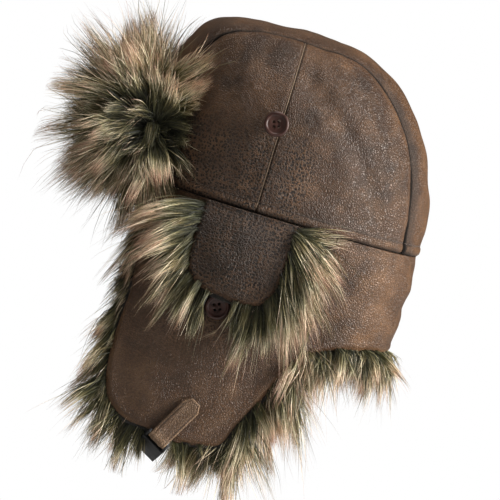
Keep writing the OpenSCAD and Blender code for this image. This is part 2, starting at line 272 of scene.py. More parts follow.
def capsule(p, q, r, sides=6):
    """A short rounded stitch from p to q."""
    p, q = np.asarray(p), np.asarray(q)
    t = unit(q - p)
    u = unit(np.cross(t, [0.3, 0.5, 0.81]))
    w = np.cross(t, u)
    rings = [(0.0, 0.35), (0.18, 0.9), (0.5, 1.0), (0.82, 0.9), (1.0, 0.35)]
    angles = np.arange(sides) * 2 * math.pi / sides
    verts = [p + (q - p) * s + r * k * (u * math.cos(a) + w * math.sin(a)) for s, k in rings for a in angles]
    faces = grid_faces(len(rings), sides, closed=True)
    faces += [tuple(reversed(range(sides))), tuple(range((len(rings) - 1) * sides, len(rings) * sides))]
    return np.array(verts), faces


def stitches(path, length, space, r):
    """Stitches along a path of points, as (verts, faces) pairs."""
    path = np.asarray(path)
    along = np.concatenate([[0], np.cumsum(np.linalg.norm(np.diff(path, axis=0), axis=1))])
    starts = np.arange(0, along[-1] - length, length + space)

    def at(s):
        return np.array([np.interp(s, along, path[:, k]) for k in range(3)])
    return [capsule(at(s), at(s + length), r) for s in starts]


# ---- Materials ----

def new_material(name):
    material = bpy.data.materials.new(name)
    material.use_nodes = True
    nodes = material.node_tree.nodes
    return material, nodes, material.node_tree.links, nodes["Principled BSDF"]


def node(nodes, kind, **values):
    made = nodes.new(kind)
    for key, value in values.items():
        if key in made.inputs:
            made.inputs[key].default_value = value
        else:
            setattr(made, key, value)
    return made


def ramp(nodes, stops, interpolation="LINEAR"):
    made = nodes.new("ShaderNodeValToRGB")
    made.color_ramp.interpolation = interpolation
    elements = made.color_ramp.elements
    while len(elements) < len(stops):
        elements.new(0.5)
    for element, (place, colour) in zip(elements, stops):
        element.position = place
        element.color = colour
    return made


def grey(v):
    return (v, v, v, 1)


def mix_colour(nodes, links, blend, factor, a, b):
    """A colour mix whose factor and colours are sockets or values."""
    made = nodes.new("ShaderNodeMix")
    made.data_type = "RGBA"
    made.blend_type = blend
    for socket, value in ((made.inputs[0], factor), (made.inputs[6], a), (made.inputs[7], b)):
        if isinstance(value, bpy.types.NodeSocket):
            links.new(value, socket)
        else:
            socket.default_value = value
    return made.outputs[2]


def calc(nodes, links, operation, a, b=0.0, clamp=False):
    made = nodes.new("ShaderNodeMath")
    made.operation = operation
    made.use_clamp = clamp
    for socket, value in zip(made.inputs, (a, b)):
        if isinstance(value, bpy.types.NodeSocket):
            links.new(value, socket)
        else:
            socket.default_value = value
    return made.outputs[0]


def leather(name, low, mid, high, rub, grain=560.0, shine=0.37):
    """Grained imitation leather: dark pores, brown pebbles, and tan places where it is rubbed."""
    material, nodes, links, shader = new_material(name)
    place = nodes.new("ShaderNodeTexCoord").outputs["Object"]
    warp = node(nodes, "ShaderNodeTexNoise", Scale=240.0, Detail=2.0)
    links.new(place, warp.inputs["Vector"])
    moved = nodes.new("ShaderNodeVectorMath")
    moved.operation = "MULTIPLY_ADD"
    moved.inputs[1].default_value = (0.0016, 0.0016, 0.0016)
    links.new(warp.outputs["Color"], moved.inputs[0])
    links.new(place, moved.inputs[2])
    pebble = node(nodes, "ShaderNodeTexVoronoi", feature="DISTANCE_TO_EDGE", Scale=grain)
    links.new(moved.outputs[0], pebble.inputs["Vector"])
    parts = nodes.new("ShaderNodeSeparateXYZ")
    links.new(moved.outputs[0], parts.inputs[0])
    around = calc(nodes, links, "ARCTAN2", parts.outputs[1], parts.outputs[0])
    wrapped = nodes.new("ShaderNodeCombineXYZ")
    links.new(calc(nodes, links, "MULTIPLY", around, 0.105), wrapped.inputs[0])
    links.new(parts.outputs[2], wrapped.inputs[1])
    cell = node(nodes, "ShaderNodeTexVoronoi", voronoi_dimensions="2D", feature="F1",
                Scale=370.0, Randomness=0.8)
    links.new(wrapped.outputs[0], cell.inputs["Vector"])
    fine = node(nodes, "ShaderNodeTexNoise", Scale=1500.0, Detail=3.0)
    links.new(place, fine.inputs["Vector"])
    patch = node(nodes, "ShaderNodeTexNoise", Scale=20.0, Detail=3.0, Roughness=0.55)
    links.new(place, patch.inputs["Vector"])
    wear = node(nodes, "ShaderNodeTexNoise", Scale=52.0, Detail=4.0, Roughness=0.6)
    links.new(place, wear.inputs["Vector"])
    rubbed = nodes.new("ShaderNodeAttribute")
    rubbed.attribute_name = "rub"
    pored = nodes.new("ShaderNodeAttribute")
    pored.attribute_name = "pore"

    crease = ramp(nodes, [(0.0, grey(0)), (0.10, grey(0.55)), (0.32, grey(1))])
    links.new(pebble.outputs["Distance"], crease.inputs[0])
    patch_ramp = ramp(nodes, [(0.36, low), (0.5, mid), (0.68, high)])
    links.new(patch.outputs["Fac"], patch_ramp.inputs[0])
    wear_amount = ramp(nodes, [(0.46, grey(0)), (0.72, grey(0.42))])
    links.new(wear.outputs["Fac"], wear_amount.inputs[0])
    wear_total = calc(nodes, links, "ADD", wear_amount.outputs[0], rubbed.outputs["Fac"], clamp=True)
    worn = mix_colour(nodes, links, "MIX", wear_total, patch_ramp.outputs[0], rub)
    shaded = mix_colour(nodes, links, "MULTIPLY", 0.55, worn, crease.outputs[0])
    size = calc(nodes, links, "MULTIPLY_ADD", warp.outputs["Fac"], 0.5)
    size.node.inputs[2].default_value = 0.13
    spot = calc(nodes, links, "SUBTRACT", size, cell.outputs["Distance"])
    spot_ramp = ramp(nodes, [(0.0, grey(0)), (0.10, grey(1))])
    links.new(spot, spot_ramp.inputs[0])
    pore_patch = ramp(nodes, [(0.34, grey(0.55)), (0.52, grey(1))])
    links.new(wear.outputs["Fac"], pore_patch.inputs[0])
    pores = calc(nodes, links, "MULTIPLY", spot_ramp.outputs[0], pored.outputs["Fac"])
    pores = calc(nodes, links, "MULTIPLY", pores, pore_patch.outputs[0])
    # painted shade: a per-point attribute darkens the colour towards near-black where shade falls in and beside
    # the crown's seams, and makes it rougher
    painted_shade = nodes.new("ShaderNodeAttribute")
    painted_shade.attribute_name = "painted_shade"
    with_painted_shade = mix_colour(nodes, links, "MIX", painted_shade.outputs["Fac"], shaded, rgb(9, 6, 5))
    final = mix_colour(nodes, links, "MIX", pores, with_painted_shade, rgb(13, 9, 7))
    links.new(final, shader.inputs["Base Color"])

    rough = calc(nodes, links, "MULTIPLY_ADD", wear.outputs["Fac"], 0.22)
    rough.node.inputs[2].default_value = shine - 0.11
    rough_pored = calc(nodes, links, "MULTIPLY_ADD", pores, 0.3)
    links.new(rough, rough_pored.node.inputs[2])
    rough_total = calc(nodes, links, "MULTIPLY_ADD", painted_shade.outputs["Fac"], 0.6, clamp=True)
    links.new(rough_pored, rough_total.node.inputs[2])
    links.new(rough_total, shader.inputs["Roughness"])
    height = calc(nodes, links, "MULTIPLY_ADD", fine.outputs["Fac"], 0.14)
    links.new(crease.outputs[0], height.node.inputs[2])
    height = calc(nodes, links, "SUBTRACT", height, pores)
    bump = node(nodes, "ShaderNodeBump", Strength=0.75, Distance=0.0005)
    links.new(height, bump.inputs["Height"])
    links.new(bump.outputs[0], shader.inputs["Normal"])
    shader.inputs["Specular IOR Level"].default_value = 0.5
    shader.inputs["Specular Tint"].default_value = (1, 0.93, 0.86, 1)
    return material


def fur_material(name):
    """Long pile hair: dark roots, olive middles and cream ends that turn a little pink."""
    material, nodes, links, shader = new_material(name)
    along = nodes.new("ShaderNodeAttribute")
    along.attribute_name = "along"
    tone = nodes.new("ShaderNodeAttribute")
    tone.attribute_name = "tone"
    shift = calc(nodes, links, "MULTIPLY_ADD", tone.outputs["Fac"], 0.46)
    shift.node.inputs[2].default_value = -0.23
    place = calc(nodes, links, "ADD", along.outputs["Fac"], shift)
    pale = ramp(nodes, [
        (0.0, rgb(28, 28, 17)), (0.25, rgb(64, 65, 41)), (0.45, rgb(98, 96, 63)), (0.60, rgb(170, 158, 116)),
        (0.72, rgb(252, 240, 210)), (0.87, rgb(246, 216, 190)), (1.0, rgb(156, 112, 92))])
    dark = ramp(nodes, [
        (0.0, rgb(20, 21, 12)), (0.40, rgb(54, 55, 34)), (0.70, rgb(100, 96, 64)), (0.88, rgb(176, 152, 118)),
        (1.0, rgb(92, 66, 52))])
    links.new(place, pale.inputs[0])
    links.new(place, dark.inputs[0])
    choose = ramp(nodes, [(0.36, grey(0)), (0.60, grey(1))])
    links.new(tone.outputs["Fac"], choose.inputs[0])
    colour = mix_colour(nodes, links, "MIX", choose.outputs[0], dark.outputs[0], pale.outputs[0])
    spread = node(nodes, "ShaderNodeTexNoise", Scale=70.0, Detail=2.0)
    links.new(nodes.new("ShaderNodeTexCoord").outputs["Object"], spread.inputs["Vector"])
    tint = ramp(nodes, [(0.3, (0.74, 0.80, 0.64, 1)), (0.5, grey(1.0)), (0.72, (1.12, 1.0, 0.90, 1))])
    links.new(spread.outputs["Fac"], tint.inputs[0])
    tinted = mix_colour(nodes, links, "MULTIPLY", 0.8, colour, tint.outputs[0])
    links.new(tinted, shader.inputs["Base Color"])
    shader.inputs["Roughness"].default_value = 0.48
    shader.inputs["Specular IOR Level"].default_value = 0.35
    shader.inputs["Sheen Weight"].default_value = 0.15
    return material


def pile_material(name):
    """The dense short pile that the long hair stands in."""
    material, nodes, links, shader = new_material(name)
    place = nodes.new("ShaderNodeTexCoord").outputs["Object"]
    hair = node(nodes, "ShaderNodeTexNoise", Scale=420.0, Detail=4.0, Roughness=0.7)
    links.new(place, hair.inputs["Vector"])
    colour = ramp(nodes, [(0.3, rgb(10, 9, 7)), (0.55, rgb(27, 24, 17)), (0.8, rgb(52, 47, 34))])
    links.new(hair.outputs["Fac"], colour.inputs[0])
    links.new(colour.outputs[0], shader.inputs["Base Color"])
    bump = node(nodes, "ShaderNodeBump", Strength=0.9, Distance=0.0015)
    links.new(hair.outputs["Fac"], bump.inputs["Height"])
    links.new(bump.outputs[0], shader.inputs["Normal"])
    shader.inputs["Roughness"].default_value = 0.85
    shader.inputs["Sheen Weight"].default_value = 0.3
    return material


def cloth_material(name, low, high, scale=900.0, rough=0.75, sheen=0.25):
    """A woven cloth with crossed threads."""
    material, nodes, links, shader = new_material(name)
    place = nodes.new("ShaderNodeTexCoord").outputs["Object"]
    heights = []
    for direction in ("X", "Z"):
        wave = node(nodes, "ShaderNodeTexWave", Scale=scale, Distortion=0.6, bands_direction=direction)
        links.new(place, wave.inputs["Vector"])
        heights.append(wave.outputs["Fac"])
    weave = calc(nodes, links, "MAXIMUM", heights[0], heights[1])
    patch = node(nodes, "ShaderNodeTexNoise", Scale=45.0, Detail=3.0)
    links.new(place, patch.inputs["Vector"])
    tone = calc(nodes, links, "MULTIPLY", weave, patch.outputs["Fac"])
    colour = ramp(nodes, [(0.1, low), (0.6, high)])
    links.new(tone, colour.inputs[0])
    links.new(colour.outputs[0], shader.inputs["Base Color"])
    bump = node(nodes, "ShaderNodeBump", Strength=0.4, Distance=0.0002)
    links.new(weave, bump.inputs["Height"])
    links.new(bump.outputs[0], shader.inputs["Normal"])
    shader.inputs["Roughness"].default_value = rough
    shader.inputs["Sheen Weight"].default_value = sheen
    return material


def plastic_material(name, low, high, rough_low, rough_high, grain=0.00004):
    """Moulded plastic with a fine texture and slight scuffs."""
    material, nodes, links, shader = new_material(name)
    place = nodes.new("ShaderNodeTexCoord").outputs["Object"]
    cloud = node(nodes, "ShaderNodeTexNoise", Scale=180.0, Detail=4.0)
    fine = node(nodes, "ShaderNodeTexNoise", Scale=2600.0, Detail=2.0)
    links.new(place, cloud.inputs["Vector"])
    links.new(place, fine.inputs["Vector"])
    colour = ramp(nodes, [(0.3, low), (0.7, high)])
    links.new(cloud.outputs["Fac"], colour.inputs[0])
    links.new(colour.outputs[0], shader.inputs["Base Color"])
    rough = ramp(nodes, [(0.3, grey(rough_low)), (0.7, grey(rough_high))])
    links.new(cloud.outputs["Fac"], rough.inputs[0])
    links.new(rough.outputs[0], shader.inputs["Roughness"])
    bump = node(nodes, "ShaderNodeBump", Strength=0.35, Distance=grain)
    links.new(fine.outputs["Fac"], bump.inputs["Height"])
    links.new(bump.outputs[0], shader.inputs["Normal"])
    return material


LEATHER = leather("brown_leather", rgb(52, 34, 23), rgb(72, 50, 35), rgb(92, 66, 47), rgb(134, 98, 66))
COVER_LEATHER = leather("cover_leather", rgb(40, 26, 18), rgb(56, 38, 27), rgb(74, 53, 38), rgb(108, 78, 54))
FLAP_LEATHER = leather("flap_leather", rgb(70, 49, 36), rgb(90, 66, 49), rgb(108, 82, 61), rgb(138, 104, 74))
STRAP_LEATHER = leather("strap_leather", rgb(100, 76, 56), rgb(114, 88, 66), rgb(128, 102, 78),
                        rgb(168, 138, 108), grain=620.0, shine=0.5)
# painted highlight: pale leather for the thin tube on the side seams, standing in for light caught on the seam's
# raised edge
EDGE_HIGHLIGHT = leather("painted_edge_highlight", rgb(128, 108, 88), rgb(148, 126, 104), rgb(170, 148, 124),
                   rgb(190, 168, 142), grain=900.0, shine=0.6)
FUR = fur_material("long_pile")
PILE = pile_material("under_pile")
LINING = cloth_material("lining_satin", rgb(16, 14, 13), rgb(44, 38, 34), rough=0.4, sheen=0.1)
BAND_CLOTH = cloth_material("band_cloth", rgb(18, 15, 13), rgb(48, 41, 36), scale=600.0)
FELT = cloth_material("padding_felt", rgb(88, 84, 78), rgb(134, 128, 118), scale=420.0, rough=0.95)
THREAD = cloth_material("thread", rgb(26, 19, 15), rgb(70, 54, 42), scale=1400.0, rough=0.6)
SEAM_THREAD = cloth_material("seam_thread", rgb(34, 24, 18), rgb(82, 62, 46), scale=1400.0, rough=0.6)
ELASTIC = cloth_material("elastic", rgb(10, 10, 10), rgb(34, 33, 32), scale=1100.0)
BUTTON = plastic_material("button_plastic", rgb(46, 26, 22), rgb(74, 46, 38), 0.30, 0.45)
BLACK = plastic_material("buckle_plastic", rgb(14, 14, 16), rgb(26, 26, 29), 0.34, 0.52, grain=0.00008)
BOARD = plastic_material("stiffener_board", rgb(40, 40, 40), rgb(66, 64, 62), 0.5, 0.7)


# ---- Crown ----

def seam_x(p):
    """Where the strip's seam lies, as a half width, with the small wander of a sewn line."""
    return STRIP_HALF + 1.1 * MM * np.sin(p[:, 1] / (17 * MM) + 1.0) * smooth((p[:, 2] - 6 * MM) / (30 * MM))


def valley(y, z, points, width):
    """1 along a path of (y, z) points in millimetres, fading with distance from it."""
    p = np.stack([y, z], 1)
    best = np.full(len(p), 9.0)
    for a, b in zip(points, points[1:]):
        a, b = np.array(a) * MM, np.array(b) * MM
        t = np.clip(((p - a) @ (b - a)) / ((b - a) @ (b - a)), 0, 1)
        best = np.minimum(best, np.linalg.norm(p - (a + t[:, None] * (b - a)), axis=1))
    return bell(best, width)


# Soft folds of the side panels, as (y, z) points in millimetres with their width and depth
SIDE_FOLDS = (
    (((-6, 110), (12, 97), (32, 82), (50, 62), (66, 42), (78, 22)), 8, 2.4),
    (((-96, 92), (-80, 110), (-60, 120), (-46, 124)), 8, 1.8),
    (((60, 72), (78, 52), (88, 34)), 5, 1.2),
    (((20, 34), (46, 20), (70, 14)), 6, 0.8),
    (((-88, 30), (-60, 22), (-30, 24)), 9, 0.9),
)


def crown_relief(p):
    """How far the crown's leather stands out from its plain shape, how rubbed it is, and how pored."""
    y, z = p[:, 1], p[:, 2]
    gap = np.abs(np.abs(p[:, 0]) - STRIP_HALF)
    on_strip = np.abs(p[:, 0]) < STRIP_HALF
    up = smooth((z - 4 * MM) / (16 * MM))
    side_gap = np.where(on_strip, 1.0, np.abs(y - SIDE_SEAM_Y))
    waves = ripple(p, 52 * MM, seed=1) * 1.4 * MM + ripple(p, 22 * MM, seed=2) * 0.5 * MM
    folds = ripple(p * np.array([1, 0.45, 1.0]), 20 * MM, seed=3, octaves=1)
    pucker = np.sin(y / (3.1 * MM) + z / (4.3 * MM) + 3 * folds) * np.exp(-gap / (7 * MM)) * up
    back = smooth((y - 30 * MM) / (50 * MM))
    bumps = 1 + 0.5 * ripple(p * np.array([0.3, 1, 1]), 30 * MM, seed=4, octaves=1)
    strip_puff = ((2.6 * MM + 1.6 * MM * back) * np.clip(1 - (p[:, 0] / STRIP_HALF) ** 2, 0, 1)
                  - 1.2 * MM * back)
    strip_puff = strip_puff * bumps - 1.6 * MM
    puff = np.where(on_strip, strip_puff, 0.6 * MM * (1 - bell(gap, 16 * MM)) - 0.8 * MM * back)
    puff -= 1.6 * MM * bell(y + 75 * MM, 40 * MM) * smooth((z - 90 * MM) / (30 * MM))
    groove = 4.4 * MM * bell(gap, 0.95 * MM) + (1.1 * MM + 0.8 * MM * back) * bell(gap, 4.5 * MM)
    groove += 0.9 * MM * bell(side_gap, 1.2 * MM)
    sides = np.where(on_strip, 0, smooth(gap / (10 * MM)))
    dents = sum(depth * MM * valley(y, z, path, width * MM) for path, width, depth in SIDE_FOLDS) * sides
    stitch_line = bell(z - 8.5 * MM, 1.3 * MM) * 0.8 * MM
    roll = 1.3 * MM * bell(z - 4 * MM, 5 * MM)
    edge = 1.3 * MM * bell(z, 1.4 * MM)
    out = puff * up + waves * up + 0.5 * MM * pucker * (0.4 + 0.6 * back) - groove - dents
    out += roll - stitch_line - edge
    rub = 0.22 * bell(gap - 5.5 * MM, 2.2 * MM) * ~on_strip + 0.22 * bell(z - 5 * MM, 2.6 * MM)
    rub += 0.25 * np.clip(ripple(p, 30 * MM, seed=5), 0, 1)
    rub += 0.35 * np.where(on_strip, smooth((gap - 6 * MM) / (18 * MM)), 0)
    pore = smooth((78 * MM - z) / (30 * MM)) * smooth((42 * MM - y) / (40 * MM)) * 0.95
    pore = np.where(on_strip, 0.15, np.maximum(pore, 0.10))
    return out, np.clip(rub, 0, 0.9), pore


def painted_seam_shade(p):
    """Painted shade on the crown's leather: darkening in its seams, in a band beside the strip's seam at the
    back, beside the lapped side seam, along the rim and along the topstitching, where shade falls.
    """
    y, z = p[:, 1], p[:, 2]
    gap = np.abs(np.abs(p[:, 0]) - STRIP_HALF)
    on_strip = np.abs(p[:, 0]) < STRIP_HALF
    back = smooth((y - 20 * MM) / (50 * MM))
    painted_shade = 1.3 * np.where(on_strip, bell(gap - 1.0 * MM, 1.7 * MM), bell(gap, 0.9 * MM))
    painted_shade += np.where(on_strip, 0.5 * back * bell(gap - 6 * MM, 4 * MM), 0)
    painted_shade += np.where(on_strip | (y < SIDE_SEAM_Y), 0, 0.6 * bell(y - SIDE_SEAM_Y - 0.6 * MM, 0.8 * MM))
    painted_shade += 0.8 * bell(z, 1.6 * MM) + 0.45 * bell(z - 8.5 * MM, 1.1 * MM)
    return np.clip(painted_shade, 0, 1)


def cut_dome(cuts, cols=340, rows=110):
    """The crown as a fine grid, cut by planes given as (point, direction cut away).

    Rows of points close to each cut let the leather turn in sharply there.
    """
    a = np.arange(cols) * 2 * math.pi / cols
    b = np.linspace(0, math.radians(88.5), rows)
    points = crown_point(np.tile(a, rows), np.repeat(b, cols))
    bm = bmesh.new()
    verts = [bm.verts.new(p) for p in points]
    top = bm.verts.new((0, 0, CROWN_HEIGHT))
    for f in grid_faces(rows, cols, closed=True):
        bm.faces.new([verts[i] for i in f])
    ring = verts[-cols:]
    for i in range(cols):
        bm.faces.new([ring[i], ring[(i + 1) % cols], top])
    for point, away in cuts:
        geom = bm.verts[:] + bm.edges[:] + bm.faces[:]
        bmesh.ops.bisect_plane(bm, geom=geom, dist=1e-5, plane_co=point, plane_no=away, clear_outer=True)
        for step in (0.35, 0.8, 1.4, 2.2, 3.2):
            geom = bm.verts[:] + bm.edges[:] + bm.faces[:]
            inside = Vector(point) - Vector(away) * step * MM
            bmesh.ops.bisect_plane(bm, geom=geom, dist=1e-6, plane_co=inside, plane_no=away)
    bm.verts.ensure_lookup_table()
    bm.verts.index_update()
    points = np.array([v.co for v in bm.verts])
    faces = [tuple(v.index for v in f.verts) for f in bm.faces]
    bm.free()
    return points, faces


def crown_sheet(points):
    """The outer points of the crown's leather, their normals, and how rubbed and pored they are."""
    normals = crown_normal(points)
    out, rub, pore = crown_relief(points)
    sideways = np.zeros_like(points)
    sideways[:, 0] = np.sign(points[:, 0]) * (seam_x(points) - STRIP_HALF) * bell(
        np.abs(points[:, 0]) - STRIP_HALF, 18 * MM)
    return points + sideways + normals * out[:, None], normals, rub, pore


def crown_panel(name, nodes_replaced, cuts):
    points, faces = cut_dome(cuts)
    outer, normals, rub, pore = crown_sheet(points)
    panel = shell(name, outer, outer - normals * LEATHER_T, faces, LEATHER)
    add_attribute(panel, "rub", np.concatenate([rub, rub]))
    # painted shade in and beside the seams, carried to the leather's colour
    add_attribute(panel, "painted_shade", np.tile(painted_seam_shade(points), 2))
    add_attribute(panel, "pore", np.concatenate([pore, pore]))
    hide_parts(*nodes_replaced)
    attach(panel, "crown")
    return panel


def tube(path, r, sides=8):
    """A closed tube along a path of points, thin at both ends."""
    path = np.asarray(path)
    tangent = unit(np.gradient(path, axis=0))
    u = unit(np.cross(tangent, np.tile([0.37, 0.61, 0.70], (len(path), 1))))
    w = np.cross(tangent, u)
    turn = np.arange(sides) * 2 * math.pi / sides
    size = r * np.minimum(1, 0.3 + np.minimum(np.arange(len(path)), np.arange(len(path))[::-1]))
    verts = path[:, None] + size[:, None, None] * (
        u[:, None] * np.cos(turn)[None, :, None] + w[:, None] * np.sin(turn)[None, :, None])
    faces = grid_faces(len(path), sides, closed=True)
    last = (len(path) - 1) * sides
    faces += [tuple(reversed(range(sides))), tuple(range(last, last + sides))]
    return verts.reshape(-1, 3), faces


def make_crown():
    crown_panel("crown_strip_leather", ["crown_top_strip"],
                [((STRIP_HALF, 0, 0), (1, 0, 0)), ((-STRIP_HALF, 0, 0), (-1, 0, 0))])
    for word, side in SIDES:
        for end_word, end in (("front", -1), ("rear", 1)):
            crown_panel(f"crown_{end_word}_{word}_leather", [f"crown_{end_word}_{word}_panel"],
                        [((side * STRIP_HALF, 0, 0), (-side, 0, 0)), ((0, SIDE_SEAM_Y, 0), (0, -end, 0))])
        # the cut edge of the front panel, which is lapped over the rear panel; its pale colour is a painted
        # highlight along the seam
        a = math.atan2(SIDE_SEAM_Y, HALF_WIDTH) + np.zeros(400)
        b = np.linspace(math.radians(1.5), math.radians(80), 400)
        line = crown_point(a, b)
        for _ in range(6):
            a = np.arctan2(SIDE_SEAM_Y, line[:, 0])
            line = crown_point(a, b)
        line = line[line[:, 0] > STRIP_HALF + 0.6 * MM] * np.array([side, 1, 1])
        line, normals, _, _ = crown_sheet(line)
        edge = joined(f"{word}_side_seam_edge", [tube(line + normals * 0.25 * MM, 0.42 * MM)], EDGE_HIGHLIGHT)
        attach(edge, "crown")
    a = np.linspace(0, 2 * math.pi, 500)
    z = 8.5 * MM
    base = crown_point(a, np.full_like(a, math.atan(z / CROWN_HEIGHT)))
    base[:, 2] = z
    path, normals, _, _ = crown_sheet(base)
    path = path + normals * 0.25 * MM
    thread = joined("crown_topstitching", stitches(path, 3.2 * MM, 1.1 * MM, 0.38 * MM), SEAM_THREAD)
    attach(thread, "crown")

    points, faces = cut_dome([], cols=120, rows=40)
    normals = crown_normal(points)
    out, _, _ = crown_relief(points)
    thinner = 3.6 * MM * bell(np.abs(points[:, 0]) - STRIP_HALF, 7 * MM)
    depth = np.minimum(LEATHER_T + 0.3 * MM - out + thinner, 5.3 * MM)
    padding = shell("crown_felt", points - normals * depth[:, None], points - normals * 5.7 * MM, faces, FELT)
    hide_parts("crown_padding")
    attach(padding, "crown")


# ---- Lining and sweatband ----

def make_lining():
    cols, rows = 240, 70
    a = np.tile(np.arange(cols) * 2 * math.pi / cols, rows)
    b = np.repeat(np.linspace(math.radians(1), math.radians(88.5), rows), cols)
    points = crown_point(a, b, -LINING_INSET)
    normals = crown_normal(points)
    quilt = np.abs(np.sin(math.pi * (a * 12 / (2 * math.pi) + b * 5 / math.pi))
                   * np.sin(math.pi * (a * 12 / (2 * math.pi) - b * 5 / math.pi)))
    puff = 2.6 * MM * quilt ** 0.45 + 0.4 * MM * ripple(points, 18 * MM, seed=7)
    inner = points - normals * puff[:, None]
    outer = points + normals * 0.4 * MM
    n = len(points)
    faces = grid_faces(rows, cols, closed=True)
    ring = list(range(n - cols, n))
    faces.append(tuple(ring))
    lining = shell("quilted_lining", outer, inner, faces, LINING)
    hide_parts("crown_lining")
    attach(lining, "crown")

    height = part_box("sweatband")[1][2]
    rows = 26
    a = np.tile(np.arange(cols) * 2 * math.pi / cols, rows)
    t = np.repeat(np.linspace(0, 1, rows), cols)
    z = 0.6 * MM + t * height
    rise = np.arctan(z / CROWN_HEIGHT)
    base = crown_point(a, rise, -BAND_INSET)
    base[:, 2] = z
    normals = crown_normal(base)
    puff = (1.6 * MM * np.sin(math.pi * t) ** 0.5
            - 0.7 * MM * bell(t - 0.12, 0.03) - 0.7 * MM * bell(t - 0.88, 0.03))
    puff += 0.25 * MM * ripple(base, 9 * MM, seed=8)
    band = shell("sweatband_cloth", base + normals * 0.6 * MM, base - normals * puff[:, None],
                 grid_faces(rows, cols, closed=True), BAND_CLOTH)
    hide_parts("sweatband")
    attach(band, "crown")


# ---- Leather sheets of the skirt ----

def cut_corners(points, times=3):
    """A closed outline with its corners rounded."""
    points = np.asarray(points, float)
    for _ in range(times):
        after = np.roll(points, -1, axis=0)
        points = np.stack([points * 0.75 + after * 0.25, points * 0.25 + after * 0.75], 1).reshape(-1, 2)
    return points


def edge_distance(yz, outline):
    """Distance of points from an open outline, and the direction away from it."""
    p, q = outline[:-1], outline[1:]
    d = q - p
    best = np.full(len(yz), 9.0)
    away = np.zeros((len(yz), 2))
    for i in range(len(p)):
        t = np.clip(((yz - p[i]) @ d[i]) / (d[i] @ d[i]), 0, 1)
        near = p[i] + t[:, None] * d[i]
        gap = np.linalg.norm(yz - near, axis=1)
        closer = gap < best
        best[closer] = gap[closer]
        normal = np.array([d[i][1], -d[i][0]]) / np.linalg.norm(d[i])
        away[closer] = normal
    return best, away


def outline_range(outline, z):
    """Lowest and highest y of a closed outline at height z."""
    y, h = outline[:, 0], outline[:, 1]
    y2, h2 = np.roll(y, -1), np.roll(h, -1)
    crossing = (np.minimum(h, h2) <= z) & (np.maximum(h, h2) >= z) & (h != h2)
    t = (z - h[crossing]) / (h2[crossing] - h[crossing])
    found = y[crossing] + t * (y2[crossing] - y[crossing])
    return found.min(), found.max()


# The earflap's edge from the top of its front, down, round and up to the split
FLAP_CORNERS = np.array([
    (-97, 60), (-97, -100), (-97, -128), (-94, -156), (-88, -174), (-70, -186), (-44, -188), (-6, -188.5),
    (9, -186), (15, -170), (29, -141), (40, -113), (50, -99), (50, 60)]) * MM
COVER_CORNERS = np.array([
    (-58, 30), (-59, -20), (-60, -44), (-56, -58), (-44, -68.5), (-26, -70.5), (-4, -71.5), (8, -69),
    (16.5, -55), (18.5, -30), (18.5, 30)]) * MM


def outline_grid(outline, top, rows, cols):
    """Points in y and z on rows across an outline, from top down."""
    low = outline[:, 1].min() + 0.05 * MM
    share = np.linspace(0, 1, rows)
    heights = top + (low - top) * share
    grid = []
    for z in heights:
        first, last = outline_range(outline, z)
        grid.append(np.stack([np.linspace(first, last, cols), np.full(cols, z)], 1))
    return np.concatenate(grid)


def sheet_normals(points, rows, cols):
    p = points.reshape(rows, cols, 3)
    n = np.cross(np.gradient(p, axis=0), np.gradient(p, axis=1))
    n = unit(n).reshape(-1, 3)
    return n * np.sign(n[:, :1] + 1e-9)


def make_earflap(word, side):
    rows, cols = 160, 130
    outline = cut_corners(FLAP_CORNERS)
    yz = outline_grid(outline, -0.6 * MM, rows, cols)
    base = np.stack([earflap_x(yz[:, 0], yz[:, 1]), yz[:, 0], yz[:, 1]], 1)
    normals = sheet_normals(base, rows, cols)
    free = outline[(outline[:, 1] < 0) & (outline[:, 0] < 49.5 * MM)]
    gap, _ = edge_distance(yz, free)
    fade = smooth(-yz[:, 1] / (14 * MM)) * smooth((SPLIT_Y - yz[:, 0]) / (12 * MM))
    waves = ripple(base, 60 * MM, seed=11) * 2.0 * MM + ripple(base, 24 * MM, seed=12) * 0.5 * MM
    crease = skirt_folds(base)
    out = waves * fade + crease * smooth(-yz[:, 1] / (10 * MM)) - 1.8 * MM * bell(gap, 2.2 * MM) * smooth(
        -yz[:, 1] / (6 * MM)) + 0.5 * MM * bell(gap - 5 * MM, 3 * MM) - 0.9 * MM * bell(yz[:, 1], 6 * MM)
    outer = base + normals * out[:, None]
    rub = 0.45 * bell(gap - 1.5 * MM, 2.0 * MM) + 0.3 * np.clip(ripple(base, 34 * MM, seed=13), 0, 1)
    inner = outer - normals * LEATHER_T
    outer_side, faces = for_side(side, outer, grid_faces(rows, cols))
    inner_side = inner if side > 0 else mirrored(inner)
    flap = shell(f"{word}_earflap_leather", outer_side, inner_side, faces, FLAP_LEATHER)
    pore = 0.55 * smooth((base[:, 1] + 110 * MM) / (60 * MM)) * smooth((base[:, 2] + 150 * MM) / (60 * MM))
    add_attribute(flap, "rub", np.clip(np.concatenate([rub, rub]), 0, 0.9))
    add_attribute(flap, "pore", np.concatenate([pore, pore]))
    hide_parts(f"{word}_earflap")
    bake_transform(flap)
    return flap


FLAP_OUTLINE = cut_corners(FLAP_CORNERS)


def skirt_folds(p):
    """Soft folds of the skirt: across the nape under the rim, and fanning from the notch at the split."""
    back = smooth((p[:, 1] - 55 * MM) / (45 * MM))
    nape = np.sin(p[:, 2] / (5.2 * MM) + 2.4 * ripple(p, 45 * MM, seed=21, octaves=1))
    nape *= back * bell(p[:, 2] + 34 * MM, 30 * MM) * 1.3 * MM
    from_notch = np.stack([p[:, 1] - 46 * MM, p[:, 2] + 108 * MM], 1)
    reach = np.linalg.norm(from_notch, axis=1)
    turn = np.arctan2(from_notch[:, 1], from_notch[:, 0])
    fan = np.sin(turn * 9 + ripple(p, 50 * MM, seed=22, octaves=1) * 2.0)
    fan *= bell(reach - 38 * MM, 26 * MM) * 1.5 * MM * smooth((p[:, 1] - 20 * MM) / (40 * MM))
    return nape + fan


